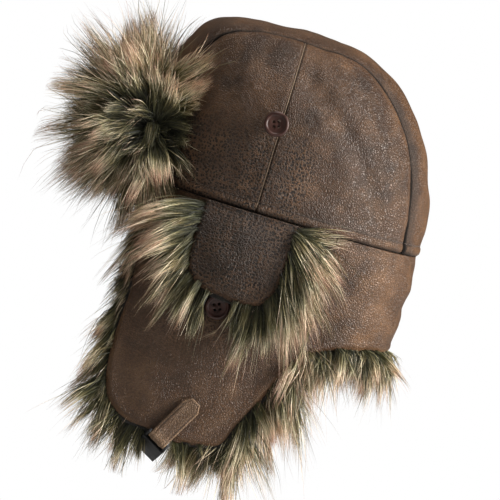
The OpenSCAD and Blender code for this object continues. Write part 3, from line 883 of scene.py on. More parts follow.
def make_curtain():
    rows, cols = 90, 300
    first = math.atan2(SPLIT_Y, rim_x(SPLIT_Y))
    a = np.tile(np.linspace(first, math.pi - first, cols), rows)
    t = np.repeat(np.linspace(0, 1, rows), cols)
    edge = curtain_edge(curtain_point(a, 0 * a)[:, 1])
    z = -0.6 * MM + (edge + 0.6 * MM) * t
    base = curtain_point(a, z)
    base[:, 1] += 2.0 * MM * smooth(-z / (40 * MM)) * smooth((base[:, 1] - SPLIT_Y) / (50 * MM))
    normals = unit(np.stack([np.cos(a) / HALF_WIDTH, np.sin(a) / HALF_LENGTH, 0 * a], 1))
    from_split = smooth((base[:, 1] - SPLIT_Y) / (12 * MM))
    waves = (ripple(base, 60 * MM, seed=11) * 2.2 * MM
             + ripple(base, 24 * MM, seed=12) * 0.6 * MM) * from_split
    waves *= smooth(-z / (14 * MM))
    gap = z - edge
    out = waves + skirt_folds(base) * smooth(-z / (10 * MM)) - 1.8 * MM * bell(gap, 2.2 * MM)
    out += 0.5 * MM * bell(gap - 5 * MM, 3 * MM) - 0.9 * MM * bell(z, 6 * MM)
    outer = base + normals * out[:, None]
    rub = 0.45 * bell(gap - 1.5 * MM, 2.0 * MM) + 0.35 * np.clip(ripple(base, 34 * MM, seed=13), 0, 1)
    rub += 0.25 * smooth((base[:, 1] - 60 * MM) / (50 * MM))
    faces = [tuple(reversed(f)) for f in grid_faces(rows, cols)]
    curtain = shell("neck_curtain_leather", outer, outer - normals * LEATHER_T, faces, LEATHER)
    add_attribute(curtain, "rub", np.clip(np.concatenate([rub, rub]), 0, 0.9))
    add_attribute(curtain, "pore", np.full(2 * len(rub), 0.12))
    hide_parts("neck_curtain")
    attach(curtain, "crown")


def cover_surface(yz):
    """Points of the left ear cover's leather, which bulges over the fur under it."""
    y, z = yz[:, 0], yz[:, 1]
    middle = (y + 20 * MM) / (38 * MM)
    crown_of = 2.6 * MM * (1 - middle ** 2) * smooth(-z / (25 * MM))
    return np.stack([earflap_x(y, z) + cover_rise(z) + LEATHER_T + crown_of, y, z], 1)


def make_ear_cover(word, side):
    rows, cols = 90, 90
    outline = cut_corners(COVER_CORNERS)
    yz = outline_grid(outline, -0.8 * MM, rows, cols)
    base = cover_surface(yz)
    normals = sheet_normals(base, rows, cols)
    gap, _ = edge_distance(yz, outline[outline[:, 1] < 0])
    out = (ripple(base, 30 * MM, seed=31) * 1.0 * MM * smooth(-yz[:, 1] / (12 * MM))
           - 1.5 * MM * bell(gap, 1.8 * MM))
    out += 0.4 * MM * bell(gap - 4 * MM, 2.5 * MM)
    outer = base + normals * out[:, None]
    rub = 0.5 * bell(gap - 1.2 * MM, 1.6 * MM) + 0.25 * np.clip(ripple(base, 20 * MM, seed=33), 0, 1)
    rub += 0.35 * bell(yz[:, 1] + 62 * MM, 10 * MM)
    outer_side, faces = for_side(side, outer, grid_faces(rows, cols))
    inner = outer - normals * LEATHER_T
    cover = shell(f"{word}_ear_cover_leather", outer_side, inner if side > 0 else mirrored(inner),
                  faces, COVER_LEATHER)
    pore = 1.0 - 0.5 * bell(base[:, 2] + 70 * MM, 6 * MM)
    add_attribute(cover, "rub", np.clip(np.concatenate([rub, rub]), 0, 0.9))
    add_attribute(cover, "pore", np.concatenate([pore, pore]))
    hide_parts(f"{word}_ear_cover")
    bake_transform(cover)


# ---- Fur ----

def keep_outside_crown(p):
    """Moves points that lie inside the crown out to just above its leather."""
    field, power = crown_field(p, 4.5 * MM)
    inside = (field < 1) & (p[..., 2] > -2 * MM)
    scale = np.where(inside, np.maximum(field, 1e-3) ** (-1 / power), 1.0)
    out = p.copy()
    out[..., :2] *= scale[..., None]
    out[..., 2] = np.where(inside, p[..., 2] * scale, p[..., 2])
    return out


def keep_under_skirt(p):
    """Moves points that the skirt's leather covers in to its fur side."""
    out = p.copy()
    under = 4.5 * MM
    x, y, z = np.abs(p[..., 0]), p[..., 1], p[..., 2]
    on_flap = inside_outline(p.reshape(-1, 3)[:, 1:], FLAP_OUTLINE).reshape(x.shape)
    ceiling = earflap_x(np.clip(y, -100 * MM, 100 * MM), z) - under
    x = np.where(on_flap, np.minimum(x, ceiling), x)
    narrow = 1 + (earflap_x(SPLIT_Y, -SETTLE) / rim_x(SPLIT_Y) - 1) * settled(z)
    reach = np.hypot(x / narrow, y)
    limit = rim_radius(np.arctan2(y, x / narrow)) - under
    on_curtain = (y > SPLIT_Y) & (z > curtain_edge(y))
    scale = np.where(on_curtain, np.minimum(1, limit / reach), 1)
    out[..., 0] = np.sign(p[..., 0]) * x * scale
    out[..., 1] = y * scale
    return out


LIMITS = [(low - 0.03 * (high - low) - 8 * MM, high + 0.03 * (high - low) + 8 * MM)
          for low, high in zip(*cad_box)]


def within_limits(p):
    """Bends points that come near the limits set a little outside the CAD model's box back inside them."""
    out = p.copy()
    soft = 12 * MM
    for axis, (low, high) in enumerate(LIMITS):
        over = np.maximum(p[..., axis] - (high - soft), 0)
        under = np.maximum((low + soft) - p[..., axis], 0)
        out[..., axis] += soft * np.tanh(over / soft) - over - (soft * np.tanh(under / soft) - under)
    return out


def hair(name, body, nodes_replaced, roots, heads, lengths, facing, seed, width=0.33 * MM, droop=0.25,
         clump=0.95, clump_size=70, curl=0.06, steps=6, keep_out=None, uneven=0.38, stray=0.08):
    """Long pile as tapered ribbons that gather in locks.

    heads are the directions that the roots point in, and facing is the normal of the cloth below them.
    """
    rng = np.random.default_rng(seed)
    n = len(roots)
    t = np.linspace(0, 1, steps + 1)
    guides = rng.choice(n, max(1, n // clump_size), replace=False)
    nearest = np.empty(n, int)
    for start in range(0, n, 2000):
        gaps = np.linalg.norm(roots[start:start + 2000, None] - roots[None, guides], axis=2)
        nearest[start:start + 2000] = np.argmin(gaps, axis=1)
    lock_length = 1 + uneven * rng.uniform(-1, 1, len(guides))
    lock_turn = 0.27 * rng.normal(size=(len(guides), 3))
    lengths = lengths * lock_length[nearest] * (1 + 0.35 * (rng.random(n) < 0.08))
    heads = unit(heads + lock_turn[nearest])
    sag = np.array([0, 0, -1.0])
    line = (roots[:, None] + lengths[:, None, None] * (heads[:, None] * t[None, :, None]
            + droop * sag[None, None] * (t ** 2)[None, :, None]))
    across = unit(np.cross(heads, rng.normal(size=(n, 3))))
    phase = rng.uniform(0, 2 * math.pi, n)
    wave = np.sin(t[None] * rng.uniform(2.0, 5.0, n)[:, None] + phase[:, None]) - np.sin(phase)[:, None]
    line += across[:, None] * (curl * lengths[:, None] * wave * t[None])[..., None]
    leader = guides[nearest]
    strength = clump * rng.uniform(0.6, 1.0, n) * (rng.random(n) > stray)
    reach = np.minimum(1.15, lengths / lengths[leader])
    guide_line = roots[leader][:, None] + (line[leader] - roots[leader][:, None]) * reach[:, None, None]
    line += (guide_line - line) * (strength[:, None] * t[None] ** 0.8)[..., None]
    if keep_out is not None:
        line[:, 1:] = keep_out(line[:, 1:])
    line = within_limits(line)
    tangent = unit(np.gradient(line, axis=1))
    side = unit(np.cross(tangent, facing[:, None] + 0.8 * rng.normal(size=(n, 1, 3))))
    taper = width * rng.uniform(0.6, 1.3, n)[:, None] * (1 - t[None] ** 1.8)
    left, right = line - side * taper[..., None], line + side * taper[..., None]
    verts = np.empty((n, 2 * steps + 1, 3))
    verts[:, 0:2 * steps:2] = left[:, :steps]
    verts[:, 1:2 * steps:2] = right[:, :steps]
    verts[:, -1] = line[:, -1]
    quads = np.array([[2 * k, 2 * k + 1, 2 * k + 3, 2 * k + 2] for k in range(steps - 1)])
    tip = np.array([2 * steps - 2, 2 * steps - 1, 2 * steps])
    first = np.arange(n) * (2 * steps + 1)
    quads = (first[:, None, None] + quads[None]).reshape(-1, 4)
    tips = first[:, None] + tip[None]
    mesh = bpy.data.meshes.new(name)
    mesh.vertices.add(verts.shape[0] * verts.shape[1])
    mesh.vertices.foreach_set("co", verts.reshape(-1).astype(np.float32))
    loops = np.concatenate([quads.ravel(), tips.ravel()]).astype(np.int32)
    mesh.loops.add(len(loops))
    mesh.loops.foreach_set("vertex_index", loops)
    starts = np.concatenate([np.arange(len(quads)) * 4, len(quads) * 4 + np.arange(len(tips)) * 3])
    mesh.polygons.add(len(starts))
    mesh.polygons.foreach_set("loop_start", starts.astype(np.int32))
    mesh.update(calc_edges=True)
    mesh.polygons.foreach_set("use_smooth", [True] * len(mesh.polygons))
    mesh.materials.append(FUR)
    obj = bpy.data.objects.new(name, mesh)
    bpy.context.scene.collection.objects.link(obj)
    along = np.concatenate([np.repeat(t[:steps], 2), [1.0]])
    tone = np.clip(0.42 * rng.random(len(guides))[nearest] + 0.58 * rng.random(n), 0, 1)
    tall = np.clip(lengths / np.percentile(lengths, 80), 0.3, 1.0)
    add_attribute(obj, "along", (tall[:, None] * along[None]).ravel())
    add_attribute(obj, "tone", np.repeat(tone, 2 * steps + 1))
    if nodes_replaced:
        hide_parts(*nodes_replaced)
    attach(obj, body)
    return obj


def make_visor():
    cols, rows = 80, 60
    half = math.radians(34)
    a = np.tile(np.linspace(-math.pi / 2 - half, -math.pi / 2 + half, cols), rows)
    b = np.repeat(np.linspace(math.radians(1.5), math.radians(32), rows), cols)
    base = crown_point(a, b, 1.2 * MM)
    normals = crown_normal(base)
    waves = 0.5 * MM * ripple(base, 30 * MM, seed=41)
    outer = base + normals * (LEATHER_T + waves)[:, None]
    back = base + normals * waves[:, None]
    visor = shell("visor_leather", outer, back, grid_faces(rows, cols), LEATHER)
    add_attribute(visor, "rub", np.full(2 * len(outer), 0.2))
    add_attribute(visor, "pore", np.full(2 * len(outer), 0.2))
    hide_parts("visor_shell")
    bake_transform(visor)

    # the pile's body: a soft roll across the front
    rng = np.random.default_rng(5)
    half_roll = 50 * MM
    centre_y, centre_z = -130 * MM, 40 * MM

    def roll_centre(x):
        bend = 16 * MM * (x / (62 * MM)) ** 2
        return np.stack([x, centre_y + bend, centre_z + 0 * x], -1)
    cols, rows = 48, 60
    x = np.linspace(-1, 1, rows)
    round_end = np.sqrt(np.clip(1 - np.abs(x) ** 4, 0, 1))
    turn = np.arange(cols) * 2 * math.pi / cols
    ring = roll_centre(np.repeat(x * (half_roll + 14 * MM), cols))
    swell = (30 * MM * np.repeat(round_end, cols))
    ring[:, 1] += swell * np.cos(np.tile(turn, rows))
    ring[:, 2] += swell * np.sin(np.tile(turn, rows)) * 1.1
    ring = keep_outside_crown(ring)
    ring += unit(ring - roll_centre(ring[:, 0])) * (2.5 * MM * ripple(ring, 9 * MM, seed=43))[:, None]
    core = mesh_object("visor_pile", ring, grid_faces(rows, cols, closed=True)
                       + [tuple(reversed(range(cols))), tuple(range((rows - 1) * cols, rows * cols))], PILE)
    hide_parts("visor_fur")
    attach(core, "visor")

    def direction(turn):
        return np.stack([0 * turn, np.cos(turn), np.sin(turn)], 1)

    def reach(turn):
        """The pile is longest upwards, where it stands against the crown, and shortest to the front."""
        return (38 + 26 * np.clip(np.sin(turn), 0, 1) ** 1.5 + 10 * np.clip(-np.sin(turn), 0, 1)
                - 19 * np.clip(np.cos(turn), 0, 1) ** 2 - 15 * bell(turn - 0.9, 0.45)) * MM

    for name, count, seed, long in (("visor_undercoat", 17000, 51, 0.62),
                                    ("visor_guard_hair", 17500, 52, 1.0)):
        rng = np.random.default_rng(seed)
        s = rng.uniform(-1, 1, count)
        turn = rng.uniform(0, 2 * math.pi, count)
        away = direction(turn)
        end = np.sign(s) * smooth((np.abs(s) - 0.45) / 0.55)
        start_r = 27 * MM * np.sqrt(np.clip(1 - np.abs(s) ** 4, 0.04, 1)) * rng.uniform(0.75, 1.0, count)
        roots = roll_centre(s * (half_roll + 8 * MM)) + away * start_r[:, None]
        heads = away + 0.16 * rng.normal(size=(count, 3))
        heads[:, 0] += 0.6 * end
        lengths = long * reach(turn) * rng.uniform(0.6, 1.1, count)
        hair(name, "visor", (), keep_outside_crown(roots), unit(heads), lengths, away, seed + 10,
             droop=0.12, clump_size=130, curl=0.08, uneven=0.5, keep_out=keep_outside_crown)
    for word, side in SIDES:
        # the roll's end, where the pile parts and lies outwards all round
        count = 16000
        rng = np.random.default_rng(57 + side)
        turn = rng.uniform(0, 2 * math.pi, count)
        away = direction(turn)
        share = rng.uniform(0, 1, count) ** 0.6
        x = (half_roll + 14 * MM) * side * (1 - 0.14 * share ** 2)
        roots = roll_centre(x) + away * (27 * MM * share)[:, None]
        heads = away + 0.15 * rng.normal(size=(count, 3))
        heads[:, 0] = side * (0.42 - 0.12 * share + 0.12 * rng.normal(size=count))
        lengths = reach(turn) * rng.uniform(0.55, 1.0, count) * (0.7 + 0.45 * share)
        hair(f"visor_{word}_end_hair", "visor", (), keep_outside_crown(roots), unit(heads), lengths,
             np.tile([side * 1.0, 0, 0], (count, 1)), 61 + side, droop=0.12, clump_size=150, curl=0.08,
             uneven=0.5, keep_out=keep_outside_crown)




def sample_in_outline(rng, outline, top, count, band=None):
    """Random points in y and z inside an outline, or in a band along its edge."""
    low, high = outline.min(axis=0), outline.max(axis=0)
    found = []
    total = 0
    while total < count:
        yz = rng.uniform([low[0], low[1]], [high[0], top], (4000, 2))
        keep = inside_outline(yz, outline)
        if band is not None:
            gap, _ = edge_distance(yz, outline[outline[:, 1] < top + 2 * MM])
            keep &= gap < band
        found.append(yz[keep])
        total += keep.sum()
    return np.concatenate(found)[:count]


def inside_outline(yz, outline):
    y, z = yz[:, 0], yz[:, 1]
    inside = np.zeros(len(yz), bool)
    p, q = outline, np.roll(outline, -1, axis=0)
    for (y1, z1), (y2, z2) in zip(p, q):
        if z1 == z2:
            continue
        crosses = ((z1 > z) != (z2 > z)) & (y < (y2 - y1) * (z - z1) / (z2 - z1) + y1)
        inside ^= crosses
    return inside


def out_of_buckle(roots, heads, lengths, side):
    """False for hairs that would lie across the strap's end and its buckle."""
    to_strap = np.array(strap_frame(side).inverted())
    clear = np.ones(len(roots), bool)
    for share in (0.0, 0.35, 0.7, 1.0):
        p = roots + heads * (lengths * share)[:, None]
        q = p @ to_strap[:3, :3].T + to_strap[:3, 3]
        x, across, z = q.T
        low = (z < 3 * MM) & (z > -9 * MM) & (x > -31 * MM)
        high = (z >= 3 * MM) & (z < 16 * MM) & (x > -7 * MM)
        clear &= ~((np.abs(across) < 11 * MM) & (low | high))
    return clear


def flap_fur(word, side):
    body = f"{word}_earflap"
    outline = cut_corners(FLAP_CORNERS)
    free = outline[(outline[:, 1] < 4 * MM)]
    rows, cols = 60, 46
    yz = outline_grid(outline, -4 * MM, rows, cols)
    gap, away = edge_distance(yz, free)
    grow = away * (2.5 * MM * bell(gap, 8 * MM))[:, None]
    yz = yz + grow * np.array([np.where(yz[:, 0] > 44 * MM, 0, 1), np.ones(len(yz))]).T
    base = np.stack([earflap_x(yz[:, 0], yz[:, 1]) - 2.4 * MM, yz[:, 0], yz[:, 1]], 1)
    thick = 7 * MM * smooth(gap / (6 * MM)) + 1.5 * MM + 1.5 * MM * ripple(base, 8 * MM, seed=61)
    inner = base - np.array([1, 0, 0]) * thick[:, None]
    outer_side, faces = for_side(side, base, grid_faces(rows, cols))
    mat = shell(f"{word}_earflap_pile", outer_side, inner if side > 0 else mirrored(inner), faces, PILE)
    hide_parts(f"{word}_earflap_fur")
    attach(mat, body)

    def grow_hair(name, count, seed, band, long, clump, clump_size):
        rng = np.random.default_rng(seed)
        yz = sample_in_outline(rng, outline, -5 * MM, count, band)
        gap, away = edge_distance(yz, free)
        near = bell(gap, 16 * MM)
        split = smooth((yz[:, 0] - 30 * MM) / (18 * MM)) * smooth((yz[:, 1] + 112 * MM) / (20 * MM))
        depth = 4 * MM + 5 * MM * (1 - near)
        roots = np.stack([earflap_x(yz[:, 0], yz[:, 1]) - depth, yz[:, 0], yz[:, 1]], 1)
        heads = np.zeros((count, 3))
        heads[:, 0] = -0.50 + 0.40 * near
        rear = smooth((yz[:, 0] + 10 * MM) / (30 * MM))
        heads[:, 1:] = away * ((0.22 + 0.55 * rear) * near * (1 - split))[:, None]
        heads[:, 1] -= 0.10
        heads[:, 2] -= 0.80
        heads = unit(heads + 0.2 * rng.normal(size=(count, 3)))
        lengths = long * rng.uniform(0.5, 1.15, count) * (0.75 + (0.10 + 0.45 * rear) * near)
        facing = np.tile([1.0, 0, 0], (count, 1))
        if side < 0:
            roots, heads, facing = mirrored(roots), mirrored(heads), mirrored(facing)
        clear = out_of_buckle(roots, heads, lengths, side)
        hair(name, body, (), roots[clear], heads[clear], lengths[clear], facing[clear], seed + 1, droop=0.30,
             keep_out=keep_under_skirt, clump=clump, clump_size=clump_size, uneven=0.5)
    grow_hair(f"{word}_earflap_inner_hair", 14000, 71 + side, None, 30 * MM, 0.5, 25)
    grow_hair(f"{word}_earflap_edge_hair", 17000, 75 + side, 13 * MM, 36 * MM, 0.95, 100)


def cover_fur(word, side):
    body = f"{word}_ear_cover"
    outline = cut_corners(COVER_CORNERS)
    free = outline[outline[:, 1] < 0]
    rows, cols = 40, 40
    yz = outline_grid(outline, -6 * MM, rows, cols)
    gap, away = edge_distance(yz, free)
    yz = yz + away * (3 * MM * bell(gap, 6 * MM))[:, None]
    top = cover_surface(yz)
    top[:, 0] -= LEATHER_T + 1.0 * MM + 3 * MM * bell(gap, 6 * MM)
    floor_x = earflap_x(yz[:, 0], yz[:, 1]) + 1.2 * MM
    low_x = floor_x + 0.45 * (top[:, 0] - floor_x)
    low = np.stack([np.minimum(low_x, top[:, 0] - 0.4 * MM), yz[:, 0], yz[:, 1]], 1)
    outer_side, faces = for_side(side, top, grid_faces(rows, cols))
    mat = shell(f"{word}_ear_cover_pile", outer_side, low if side > 0 else mirrored(low), faces, PILE)
    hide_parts(f"{word}_ear_cover_fur")
    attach(mat, body)

    count = 18000
    rng = np.random.default_rng(81 + side)
    yz = sample_in_outline(rng, outline, -4 * MM, count, 14 * MM)
    gap, away = edge_distance(yz, free)
    surface = cover_surface(yz)[:, 0] - LEATHER_T
    floor_x = earflap_x(yz[:, 0], yz[:, 1]) + 1.5 * MM
    depth = rng.uniform(0.15, 0.95, count)
    roots = np.stack([surface + (floor_x - surface) * depth, yz[:, 0], yz[:, 1]], 1)
    heads = np.zeros((count, 3))
    heads[:, 0] = 0.30 * (0.75 - depth)
    heads[:, 1:] = away * 0.85
    high = smooth((yz[:, 1] + 45 * MM) / (30 * MM))
    back = smooth((yz[:, 0] + 5 * MM) / (20 * MM))
    front = smooth((-26 * MM - yz[:, 0]) / (16 * MM))
    heads[:, 1] -= 0.30 * front * high
    heads[:, 2] -= 0.75 - 0.45 * high - high * (0.05 * back + 0.10 * front)
    heads = unit(heads + 0.17 * rng.normal(size=(count, 3)))
    lengths = 29 * MM + 10 * MM * back + high * (11 * MM * back + 20 * MM * front)
    lengths = lengths * rng.uniform(0.5, 1.15, count)
    facing = np.tile([1.0, 0, 0], (count, 1))

    def keep_off_flap(p):
        out = p.copy()
        floor = earflap_x(np.clip(p[..., 1], -110 * MM, 110 * MM), p[..., 2]) + 1.5 * MM
        flat = p.reshape(-1, 3)[:, 1:]
        under = inside_outline(flat, outline).reshape(p.shape[:-1])
        ceiling = cover_surface(flat)[:, 0].reshape(p.shape[:-1]) - LEATHER_T - 1.6 * MM
        out[..., 0] = np.where(under, np.minimum(p[..., 0], ceiling), p[..., 0])
        out[..., 0] = np.maximum(out[..., 0], floor)
        # the hair parts round the button and falls apart below it
        low = FLAP_BUTTON[1] - 24 * MM
        axis_z = np.clip(p[..., 2], low, FLAP_BUTTON[1])
        clearance = (BUTTON_R + 1.5 * MM) * (1 - 0.75 * (FLAP_BUTTON[1] - axis_z) / (24 * MM))
        needed = np.sqrt(np.maximum(clearance ** 2 - (p[..., 2] - axis_z) ** 2, 0))
        turned = np.where(p[:, :1, 1] < FLAP_BUTTON[0], -1, 1)
        off = (p[..., 1] - FLAP_BUTTON[0]) * turned
        out[..., 1] = np.where((off < needed) & (needed > 0), FLAP_BUTTON[0] + turned * needed, out[..., 1])
        return out
    clear = np.ones(count, bool)
    for share in (0.0, 0.25, 0.5, 0.75, 1.0):
        p = roots + lengths[:, None] * (heads * share + np.array([0, 0, -0.42 * share ** 2]))
        below = (p[:, 2] < FLAP_BUTTON[1]) & (p[:, 2] > FLAP_BUTTON[1] - 26 * MM)
        narrow = 9 * MM * (1 - (FLAP_BUTTON[1] - p[:, 2]) / (30 * MM))
        clear &= ~(below & (np.abs(p[:, 1] - FLAP_BUTTON[0]) < narrow))
        clear &= np.hypot(p[:, 1] - FLAP_BUTTON[0], p[:, 2] - FLAP_BUTTON[1]) > BUTTON_R
    roots, heads, lengths, facing = roots[clear], heads[clear], lengths[clear], facing[clear]
    keep = keep_off_flap
    if side < 0:
        roots, heads, facing = mirrored(roots), mirrored(heads), mirrored(facing)

        def keep(p):
            return mirrored(keep_off_flap(mirrored(p)))
    hair(f"{word}_ear_cover_hair", body, (), roots, heads, lengths, facing, 91 + side,
         droop=0.42, keep_out=keep, clump_size=100, uneven=0.45)

    # short pile on the cover's inside, which shows when the cover is folded up
    count = 5000
    rng = np.random.default_rng(85 + side)
    yz = sample_in_outline(rng, outline, -5 * MM, count)
    floor_x = earflap_x(yz[:, 0], yz[:, 1]) + 1.5 * MM
    surface = cover_surface(yz)[:, 0] - LEATHER_T
    roots = np.stack([floor_x + 0.25 * (surface - floor_x), yz[:, 0], yz[:, 1]], 1)
    heads = unit(np.array([-0.12, 0, -0.9]) + 0.25 * rng.normal(size=(count, 3)))
    lengths = 17 * MM * rng.uniform(0.6, 1.1, count)
    facing = np.tile([1.0, 0, 0], (count, 1))
    if side < 0:
        roots, heads, facing = mirrored(roots), mirrored(heads), mirrored(facing)
    hair(f"{word}_ear_cover_inner_hair", body, (), roots, heads, lengths, facing, 95 + side,
         droop=0.1, clump=0.5, clump_size=25, keep_out=keep)


def curtain_fur():
    rows, cols = 40, 140
    first = math.atan2(SPLIT_Y, rim_x(SPLIT_Y)) + 0.01
    a = np.tile(np.linspace(first, math.pi - first, cols), rows)
    t = np.repeat(np.linspace(0.04, 1, rows), cols)
    edge = curtain_edge(curtain_point(a, 0 * a)[:, 1])
    z = edge * t - 5 * MM * t ** 6
    outer = curtain_point(a, z, -2.6 * MM)
    thick = 8 * MM * smooth((1.02 - t) / 0.1) + 1.5 * MM + 1.5 * MM * ripple(outer, 8 * MM, seed=62)
    inner = outer - unit(outer * np.array([1, 1, 0])) * thick[:, None]
    faces = [tuple(reversed(f)) for f in grid_faces(rows, cols)]
    mat = shell("neck_curtain_pile", outer, inner, faces, PILE)
    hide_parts("neck_curtain_fur")
    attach(mat, "crown")

    def grow_hair(name, count, seed, low_share, long, inward, back_push, clump, clump_size):
        rng = np.random.default_rng(seed)
        a = rng.uniform(first, math.pi - first, count)
        t = rng.uniform(low_share, 1, count)
        edge = curtain_edge(curtain_point(a, 0 * a)[:, 1])
        z = edge * t
        near = bell(z - edge, 14 * MM)
        roots = curtain_point(a, z, -4 * MM)
        out = unit(roots * np.array([1, 1, 0]))
        roots -= out * (5 * MM * (1 - near))[:, None]
        heads = out * (-inward + (inward + back_push) * near)[:, None]
        heads[:, 2] -= 0.8
        heads = unit(heads + 0.2 * rng.normal(size=(count, 3)))
        lengths = long * rng.uniform(0.5, 1.15, count)
        hair(name, "crown", (), roots, heads, lengths, out, seed + 1, keep_out=keep_under_skirt,
             clump=clump, clump_size=clump_size, uneven=0.55)
    grow_hair("neck_inner_hair", 14000, 101, 0.06, 28 * MM, 0.45, 0.1, 0.5, 25)
    grow_hair("neck_edge_hair", 16000, 103, 0.88, 27 * MM, 0.3, 0.45, 0.95, 110)


# ---- Buttons ----

def button_mesh():
    """A four-hole button in the XY plane with its face up, as points and faces."""
    profile = [(0.0, 2.1), (6.3, 2.15), (7.0, 2.3), (7.5, 2.9), (7.9, 3.5), (8.5, 3.6), (9.1, 3.5),
               (9.6, 3.0), (10.0, 2.1), (9.8, 0.9), (9.0, 0.25), (7.5, 0.0), (0.0, 0.0)]
    segments = 72
    bm = bmesh.new()
    rings = []
    for r, h in profile[1:-1]:
        rings.append([bm.verts.new((r * MM * math.cos(2 * math.pi * k / segments),
                                    r * MM * math.sin(2 * math.pi * k / segments), h * MM))
                      for k in range(segments)])
    for low, high in zip(rings, rings[1:]):
        for k in range(segments):
            bm.faces.new([low[k], high[k], high[(k + 1) % segments], low[(k + 1) % segments]])
    bm.faces.new(rings[0])
    bm.faces.new(list(reversed(rings[-1])))
    mesh = bpy.data.meshes.new("button")
    bmesh.ops.recalc_face_normals(bm, faces=bm.faces)
    bm.to_mesh(mesh)
    bm.free()
    blank = bpy.data.objects.new("button_blank", mesh)
    bpy.context.scene.collection.objects.link(blank)
    cutters = []
    for x in (-2, 2):
        for y in (-2, 2):
            bpy.ops.mesh.primitive_cylinder_add(vertices=24, radius=1.25 * MM, depth=12 * MM,
                                                location=(x * MM, y * MM, 0))
            cutter = bpy.context.object
            cutters.append(cutter)
            cut = blank.modifiers.new("hole", "BOOLEAN")
            cut.operation = "DIFFERENCE"
            cut.solver = "EXACT"
            cut.object = cutter
    soften = blank.modifiers.new("soften", "BEVEL")
    soften.width = 0.22 * MM
    soften.segments = 2
    soften.limit_method = "ANGLE"
    soften.angle_limit = math.radians(50)
    finished = applied(blank)
    for obj in cutters + [blank]:
        bpy.data.objects.remove(obj)
    return finished


def applied(obj):
    """A new mesh with the object's modifiers applied."""
    deps = bpy.context.evaluated_depsgraph_get()
    deps.update()
    return bpy.data.meshes.new_from_object(obj.evaluated_get(deps))


def place_mesh(name, mesh, matrix, material):
    copy = mesh.copy()
    copy.transform(matrix)
    if matrix.determinant() < 0:
        copy.flip_normals()
    copy.materials.clear()
    copy.materials.append(material)
    copy.polygons.foreach_set("use_smooth", [True] * len(copy.polygons))
    copy.set_sharp_from_angle(angle=math.radians(42))
    obj = bpy.data.objects.new(name, copy)
    bpy.context.scene.collection.objects.link(obj)
    return obj


def make_buttons():
    plain = button_mesh()
    for word, side in SIDES:
        for place, body, x, middle, lean, spin in (
                ("crown", "crown", CROWN_BUTTON_X, CROWN_BUTTON, 86, 17),
                ("earflap", f"{word}_earflap", FLAP_BUTTON_X, FLAP_BUTTON, 90, 24)):
            matrix = (Matrix.Translation((side * x, *middle))
                      @ Matrix.Rotation(side * math.radians(lean), 4, "Y")
                      @ Matrix.Rotation(math.radians(spin), 4, "Z"))
            button = place_mesh(f"{word}_{place}_button_face", plain, matrix, BUTTON)
            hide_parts(f"{word}_{place}_button")
            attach(button, body)


# ---- Strap and buckle ----

def strap_frame(side):
    matrix = Matrix.Translation(BAR) @ Matrix.Rotation(-STRAP_LEAN, 4, "X")
    return (Matrix.Scale(-1, 4, (1, 0, 0)) @ matrix) if side < 0 else matrix


